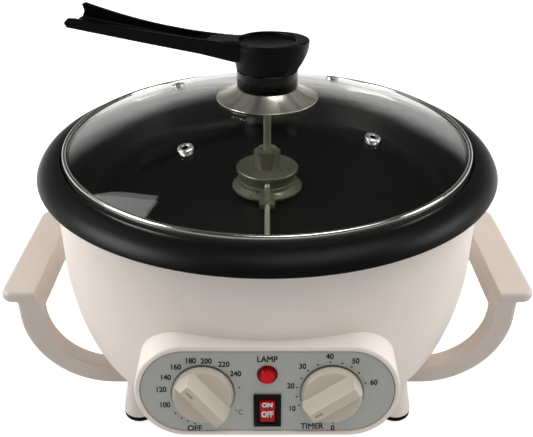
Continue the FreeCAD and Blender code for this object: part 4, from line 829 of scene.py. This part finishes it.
# ---------------------------------------------------------------- thermostat, timer, terminals
# Behind the fascia sit a square thermostat and a round clockwork timer, each round its dial's
# shaft, and a terminal block lies on the floor of the bowl. All are brown phenolic mouldings.
unit_phenolic = moulded(
    "brown moulded phenolic", "#3A281C", roughness=0.42, grain=0.7, depth=0.02, drift=0.12)
dress(unit_phenolic, "thermostat_unit", "timer_unit", "terminal_block")

# ---------------------------------------------------------------- power inlet
# An appliance inlet is let through the bowl's back wall: a black block with a deep socket and
# three nickel-plated pins.
piece("socket_block", softened("power_inlet", 0.6), black_plastic, "roaster", "power_inlet",
      slot="black_plastic")
nickel_plate = metal(
    "nickel-plated brass", "#E4E4E2", roughness=0.28, grain=2.0, depth=0.001, bare=0.9)
piece("socket_pins", softened("inlet_pins", 0.4), nickel_plate, "roaster", "inlet_pins",
      slot="bright_trim")

# ---------------------------------------------------------------- glass lid
# The dome is 4 mm tempered glass, bent over a mould and ground at its edge. A rolled stainless
# band wraps the edge, and four metal eyelets in the dome let the smoke out.

# Tempered glass: clear, very slightly green in its thickness, with a faint ripple from the oven.
lid_glass, tree, shader, place = surface("tempered soda-lime glass", {
    "Base Color": linear("#F3F4F0"), "Roughness": 0.0, "IOR": 1.52, "Transmission Weight": 1.0})
ripple = node(tree, "ShaderNodeTexNoise", {"Vector": place, "Scale": 1 / (45 * MM), "Detail": 1.0})
relief = node(tree, "ShaderNodeBump", {
    "Height": ripple.outputs["Fac"], "Distance": 0.25 * MM, "Strength": 1.0})
tree.links.new(relief.outputs["Normal"], shader.inputs["Normal"])
shadow = node(tree, "ShaderNodeLightPath").outputs["Is Shadow Ray"]
clear = node(tree, "ShaderNodeBsdfTransparent", {"Color": linear("#E4EAE4")})
glazing = node(tree, "ShaderNodeMixShader", {
    0: shadow, 1: shader.outputs["BSDF"], 2: clear.outputs["BSDF"]})
tree.links.new(glazing.outputs["Shader"], tree.nodes["Material Output"].inputs["Surface"])
dress(lid_glass, "lid_glass")

# Stainless steel: polished on a wheel, nearly a mirror, with faint rings from the polishing.
lid_steel = metal(
    "polished stainless steel", "#EDEBE6",
    roughness=0.14, grain=2.0, depth=0.001, stretch=(0.3, 0.3, 1.0), bare=0.95)
RING_RADIUS, RING_IN, RING_LOW_Z, RING_TOP_Z, GLASS_RADIUS = 130.0, 126.6, 160.55, 168.7, 128.6
HEM_RADIUS, BAND_WALL = 127.3, 0.9
groove_radius, floor_z = GLASS_RADIUS + 0.2, RING_LOW_Z + BAND_WALL
ring_outline = rounded([
    (RING_IN, RING_LOW_Z), (RING_RADIUS, RING_LOW_Z, 0.5), (RING_RADIUS, RING_TOP_Z, 1.3),
    (HEM_RADIUS, RING_TOP_Z, 1.3), (HEM_RADIUS, RING_TOP_Z - 1.4),
    (groove_radius, RING_TOP_Z - 1.5), (groove_radius, floor_z), (RING_IN, floor_z)])
piece("rolled_band", lathe(ring_outline, steps=320), lid_steel, "lid", "lid_ring",
      slot="lid_steel")

# Eyelets: nickel-plated brass, rolled over on both sides of the glass.
GLASS_SPHERE, GLASS_APEX_Z, VENT_CIRCLE, VENT_START = 303.4, 195.6, 76.9, 53
EYELET_BORE, EYELET_BODY, UNDER_LIP, OVER_LIP = 1.8, 3.0, 4.2, 4.6
lean = math.asin(VENT_CIRCLE / GLASS_SPHERE)
vent_z = GLASS_APEX_Z - GLASS_SPHERE + math.sqrt(GLASS_SPHERE ** 2 - VENT_CIRCLE ** 2)


def in_vents(mesh, material):
    """Four copies of a mesh, stood square to the dome in its vent holes."""
    mesh.transform(Matrix.Translation((VENT_CIRCLE * MM, 0, vent_z * MM))
                   @ Matrix.Rotation(lean, 4, "Y"))
    return repeated(mesh, 4, VENT_START, material)


eyelet = lathe(rounded([
    (EYELET_BORE, -4.9, 0.3), (UNDER_LIP, -4.9, 0.3), (UNDER_LIP, -4.3), (EYELET_BODY, -4.3),
    (EYELET_BODY, 0.06), (OVER_LIP, 0.06), (OVER_LIP, 0.9, 0.5), (3.4, 1.6, 0.7),
    (EYELET_BORE, 1.2, 0.6)]), steps=48)
piece("rolled_eyelets", in_vents(eyelet, nickel_plate), nickel_plate, "lid", "vent_eyelets",
      slot="bright_trim")
# Painted shade: a matt black lining in the eyelets' bores stands for the dark down the holes.
bore_shade = moulded("matt black bore lining, painted shade", "#060606", roughness=0.8, grain=0.8, depth=0.01, shine=0.1)
SHADE_IN, SHADE_OUT = EYELET_BORE - 0.3, EYELET_BORE + 0.1
bore = lathe(rounded([
    (SHADE_IN, -4.8), (SHADE_OUT, -4.8), (SHADE_OUT, 1.25, 0.1), (SHADE_IN, 1.0, 0.1)]), steps=32)
piece("shaded_bores", in_vents(bore, bore_shade), bore_shade, "lid", slot="bright_trim")

# ---------------------------------------------------------------- hold-down rod
# A steel rod runs down from the knob to the stirrer's hexagon, clamped through the glass between
# two nuts, with a silicone washer above and below.
dress(seal_silicone, "glass_washers")
piece("hexagon_nuts", softened("rod_nuts", 0.4), zinc_plate, "lid", "rod_nuts",
      slot="zinc_screws")

# ---------------------------------------------------------------- knob
# The knob stands on a spun stainless cone. Its neck is glossy black phenolic, the cup above it is
# matt, and a matt cap closes the round recess in the top.
NECK_RADIUS, NECK_Z, CUP_Z, ROD_RADIUS = 19.1, 201.5, 213.2, 2.45
FLANGE_RADIUS, FLANGE_Z, FLANGE_ARC, FLANGE_WALL = 31.9, 194.4, 31, 0.8
flange_top, flange_edge = (NECK_RADIUS, NECK_Z), (FLANGE_RADIUS - 0.3, FLANGE_Z + 0.75)
under_top, under_edge = (NECK_RADIUS - 0.7, NECK_Z - FLANGE_WALL), (FLANGE_RADIUS - 0.6, FLANGE_Z)
cone_outline = rounded([
    (ROD_RADIUS, NECK_Z - FLANGE_WALL), under_top, *arc(under_top, under_edge, FLANGE_ARC),
    (FLANGE_RADIUS, FLANGE_Z, 0.25), (FLANGE_RADIUS, FLANGE_Z + 0.7, 0.3), flange_edge,
    *arc(flange_edge, flange_top, -FLANGE_ARC), (ROD_RADIUS, NECK_Z)])
# Spun stainless: a soft shine, with its colour painted lighter and darker in broad slices round
# the cone as painted reflections and painted shade.
cone_steel, tree, shader, place = surface("spun stainless steel", {
    "Metallic": 0.8, "Roughness": 0.24})
flat = node(tree, "ShaderNodeVectorMath", {0: place, 1: (1.0, 1.0, 0.0)}, operation="MULTIPLY")
bearing = node(tree, "ShaderNodeVectorMath", {0: flat.outputs[0]}, operation="NORMALIZE")
painted_reflections = node(tree, "ShaderNodeTexNoise", {
    "Vector": bearing.outputs[0], "Scale": 2.2, "Detail": 3.0, "Roughness": 0.6})
# Painted reflections and shade: the colour runs from half to one and a quarter times its tone by
# bearing round the cone.
toned(tree, shader, "#DEDACB", painted_reflections.outputs["Fac"], 0.5, 1.25, start=0.35, end=0.65)
piece("spun_cone", lathe(cone_outline, steps=160), cone_steel, "lid", "cone_flange",
      slot="lid_steel")

# Glossy phenolic: jet black with a hard polished shine.
gloss_black = moulded(
    "polished black phenolic", "#030403",
    roughness=0.09, grain=2.0, depth=0.002, drift=0.1, shine=0.2)
neck_outline = rounded([
    (ROD_RADIUS, NECK_Z), (NECK_RADIUS, NECK_Z, 0.6), (NECK_RADIUS, CUP_Z - 0.5, 0.3),
    (NECK_RADIUS - 0.5, CUP_Z), (ROD_RADIUS, CUP_Z)])
piece("glossy_neck", lathe(neck_outline, steps=128), gloss_black, "lid", "knob_neck",
      slot="gloss_black")

PLATE_Z, KNOB_TOP_Z, RECESS_RADIUS = 227.4, 231.4, 17.5
CUP_STEPS, CUP_LEVELS, CUP_VOXEL, CUP_ROUNDS = 128, 24, 0.6, 4
# Height, shift along X and the two half sizes of each oval section.
cup_sections = [(CUP_Z, 0, 19.1, 19.1), (CUP_Z + 5, 1.1, 21.2, 19.3),
                (CUP_Z + 10, 2.1, 22.6, 19.1), (PLATE_Z + 1.2, 2.8, 23.1, 19.0)]


def cup():
    """Cup lofted through its oval sections."""
    points = []
    faces = []
    for level in range(CUP_LEVELS + 1):
        share = level / CUP_LEVELS * (len(cup_sections) - 1)
        number = min(int(share), len(cup_sections) - 2)
        lower, upper = cup_sections[number], cup_sections[number + 1]
        height, shift, wide, deep = (a + (b - a) * (share - number) for a, b in zip(lower, upper))
        for step in range(CUP_STEPS):
            angle = 2 * math.pi * step / CUP_STEPS
            points.append(((shift + wide * math.cos(angle)) * MM, deep * math.sin(angle) * MM,
                           height * MM))
    for level in range(CUP_LEVELS):
        low, high = level * CUP_STEPS, (level + 1) * CUP_STEPS
        for step in range(CUP_STEPS):
            after = (step + 1) % CUP_STEPS
            faces.append((low + step, low + after, high + after, high + step))
    faces.append(tuple(reversed(range(CUP_STEPS))))
    faces.append(tuple(range(CUP_LEVELS * CUP_STEPS, (CUP_LEVELS + 1) * CUP_STEPS)))
    return mesh_from(points, faces)


piece("flared_cup", smoothed(cup(), CUP_VOXEL, CUP_ROUNDS), black_plastic, "lid", "knob_cup",
      slot="black_plastic")
CAP_SUNK, CAP_EDGE, CAP_DISH, CAP_ARC = 1.6, 1.4, 1.0, -150
cap_top, dish_edge = KNOB_TOP_Z - CAP_SUNK, RECESS_RADIUS - CAP_EDGE
cap_outline = rounded([
    (0, PLATE_Z), (RECESS_RADIUS, PLATE_Z), (RECESS_RADIUS, cap_top, 0.3),
    (dish_edge, cap_top, 0.4), *arc((dish_edge, cap_top), (0, cap_top - CAP_DISH), CAP_ARC)])
piece("recessed_cap", lathe(cap_outline, steps=128), black_plastic, "lid", "knob_cap",
      slot="gloss_black")

# ---------------------------------------------------------------- side arm
# The top plate of the knob runs out to one side as a rising channel-shaped arm, moulded in matt
# black nylon with well rounded edges.
ARM_VOXEL, ARM_ROUNDS = 0.5, 6
piece("channel_arm", smoothed(merged("handle_arm"), ARM_VOXEL, ARM_ROUNDS), black_plastic, "lid",
      "handle_arm", slot="black_plastic")

# ---------------------------------------------------------------- floor, light and camera
# A pale floor runs out of sight in all directions and throws some light up, under a dim even sky.
# A large soft lamp stands on each side, a little behind the roaster, and one hangs above it. Three
# white cards light nothing, and only show in the glass and the polished pieces.
GROUND_HALF, GROUND_Z, GROUND_GLOW = 4.0, -0.0002, 0.8       # metres, and a strength
GROUND_LIGHT, SKY_LIGHT = 0.3, 0.45           # shares that fall on the roaster as light
floor_paint, tree, shader, place = surface("pale studio floor", {
    "Roughness": 0.9, "Specular IOR Level": 0.0, "Emission Color": (1, 1, 1, 1)})
speck = node(tree, "ShaderNodeTexNoise", {"Vector": place, "Scale": 8.0})
toned(tree, shader, "#B4B4B4", speck.outputs["Fac"], 0.99, 1.0, start=0, end=1)


def backdrop(tree, through_glass, in_gloss, as_light):
    """Strength of the backdrop: white to the camera, and as given to a ray through glass, to one
    off a gloss, where the dark room shows too, and to the light that falls on the object."""
    path = node(tree, "ShaderNodeLightPath").outputs
    strength = as_light
    for ray, value in (("Is Glossy Ray", in_gloss), ("Is Transmission Ray", through_glass),
                       ("Is Camera Ray", 1.0)):
        strength = node(tree, "ShaderNodeMix", {
            "Factor": path[ray], "A": strength, "B": value}).outputs["Result"]
    return strength


# A gloss shows the floor dark in front of the roaster and pale behind it.
floor_in_gloss = node(tree, "ShaderNodeMapRange", {
    "Value": node(tree, "ShaderNodeSeparateXYZ", {"Vector": place}).outputs["Y"],
    "From Min": -0.3, "From Max": 0.5, "To Min": 0.05, "To Max": 0.9},
    interpolation_type="SMOOTHSTEP").outputs["Result"]
glow = node(tree, "ShaderNodeMath", {
    0: backdrop(tree, 1.0, floor_in_gloss, GROUND_LIGHT), 1: GROUND_GLOW}, operation="MULTIPLY")
tree.links.new(glow.outputs[0], shader.inputs["Emission Strength"])
floor = placed("floor", mesh_from([
    (x * GROUND_HALF, y * GROUND_HALF, GROUND_Z)
    for x, y in ((-1, -1), (1, -1), (1, 1), (-1, 1))], [(0, 1, 2, 3)]))
floor.data.materials.append(floor_paint)

# The studio's white backdrop reaches a little above the horizon. Its ceiling is dark and its front
# is dim, so that black and polished pieces keep their depth.
world = bpy.data.worlds.new("white studio with a dark ceiling")
world.use_nodes = True
world.cycles.sampling_method = "NONE"
bpy.context.scene.world = world
tree = world.node_tree
tree.nodes.clear()
ray = node(tree, "ShaderNodeSeparateXYZ", {
    "Vector": node(tree, "ShaderNodeTexCoord").outputs["Generated"]}).outputs
low_backdrop = node(tree, "ShaderNodeMapRange", {
    "Value": ray["Z"], "From Min": 0.14, "From Max": 0.36, "To Min": 1.0, "To Max": 0.04},
    interpolation_type="SMOOTHSTEP").outputs["Result"]
front = node(tree, "ShaderNodeMapRange", {
    "Value": ray["Y"], "From Min": -0.4, "From Max": 0.3, "To Min": 0.06, "To Max": 0.5},
    interpolation_type="SMOOTHSTEP").outputs["Result"]
dim_front = node(tree, "ShaderNodeMath", {0: low_backdrop, 1: front}, operation="MULTIPLY")
sky = node(tree, "ShaderNodeBackground", {
    "Color": (1, 1, 1, 1),
    "Strength": backdrop(tree, low_backdrop, dim_front.outputs[0], SKY_LIGHT)})
node(tree, "ShaderNodeOutputWorld", {"Surface": sky.outputs["Background"]})
LAMP_AIM = Vector((0, 0, 0.1))         # the roaster's middle, in metres as the lamps' places are


def soft_lamp(name, place, wide, high, watts, mirrored=True, lights=True):
    """Rectangular lamp aimed at the roaster. One that isn't mirrored only lights it, as a lamp
    behind a wide sheet of tracing paper does, and one that doesn't light it is a white card that
    only shows in its glossy pieces."""
    lamp = bpy.data.lights.new(name, "AREA")
    lamp.shape = "RECTANGLE"
    lamp.size = wide
    lamp.size_y = high
    lamp.energy = watts
    holder = placed(name, lamp)
    holder.location = place
    holder.rotation_euler = (LAMP_AIM - Vector(place)).to_track_quat("-Z", "Y").to_euler()
    holder.visible_glossy = mirrored
    holder.visible_transmission = mirrored
    holder.visible_diffuse = lights


soft_lamp("left_softbox", (-1.05, 0.4, 0.5), wide=1.1, high=0.7, watts=15.5, mirrored=False)
soft_lamp("right_softbox", (1.05, 0.45, 0.55), wide=1.1, high=0.7, watts=12.0, mirrored=False)
soft_lamp("top_softbox", (0.35, -0.35, 1.3), wide=1.0, high=0.7, watts=6.0)
soft_lamp("dome_card", (-0.72, 0.42, 0.98), wide=0.22, high=0.42, watts=0.45, lights=False)
soft_lamp("left_card", (-0.95, -0.3, 0.68), wide=0.6, high=0.45, watts=10.0, lights=False)
soft_lamp("right_card", (0.95, -0.05, 0.6), wide=0.4, high=0.3, watts=3.0, lights=False)

CAMERA_PLACE, CAMERA_TILT = (-0.00046, -0.45149, 0.35864), 60.8
LENS, SENSOR = 50.66, 36.0
camera = placed("camera", bpy.data.cameras.new("camera"))
camera.data.lens = LENS
camera.data.sensor_width = SENSOR
camera.location = CAMERA_PLACE
camera.rotation_euler = (math.radians(CAMERA_TILT), 0, 0)
bpy.context.scene.camera = camera
bpy.context.scene.view_settings.view_transform = "Standard"
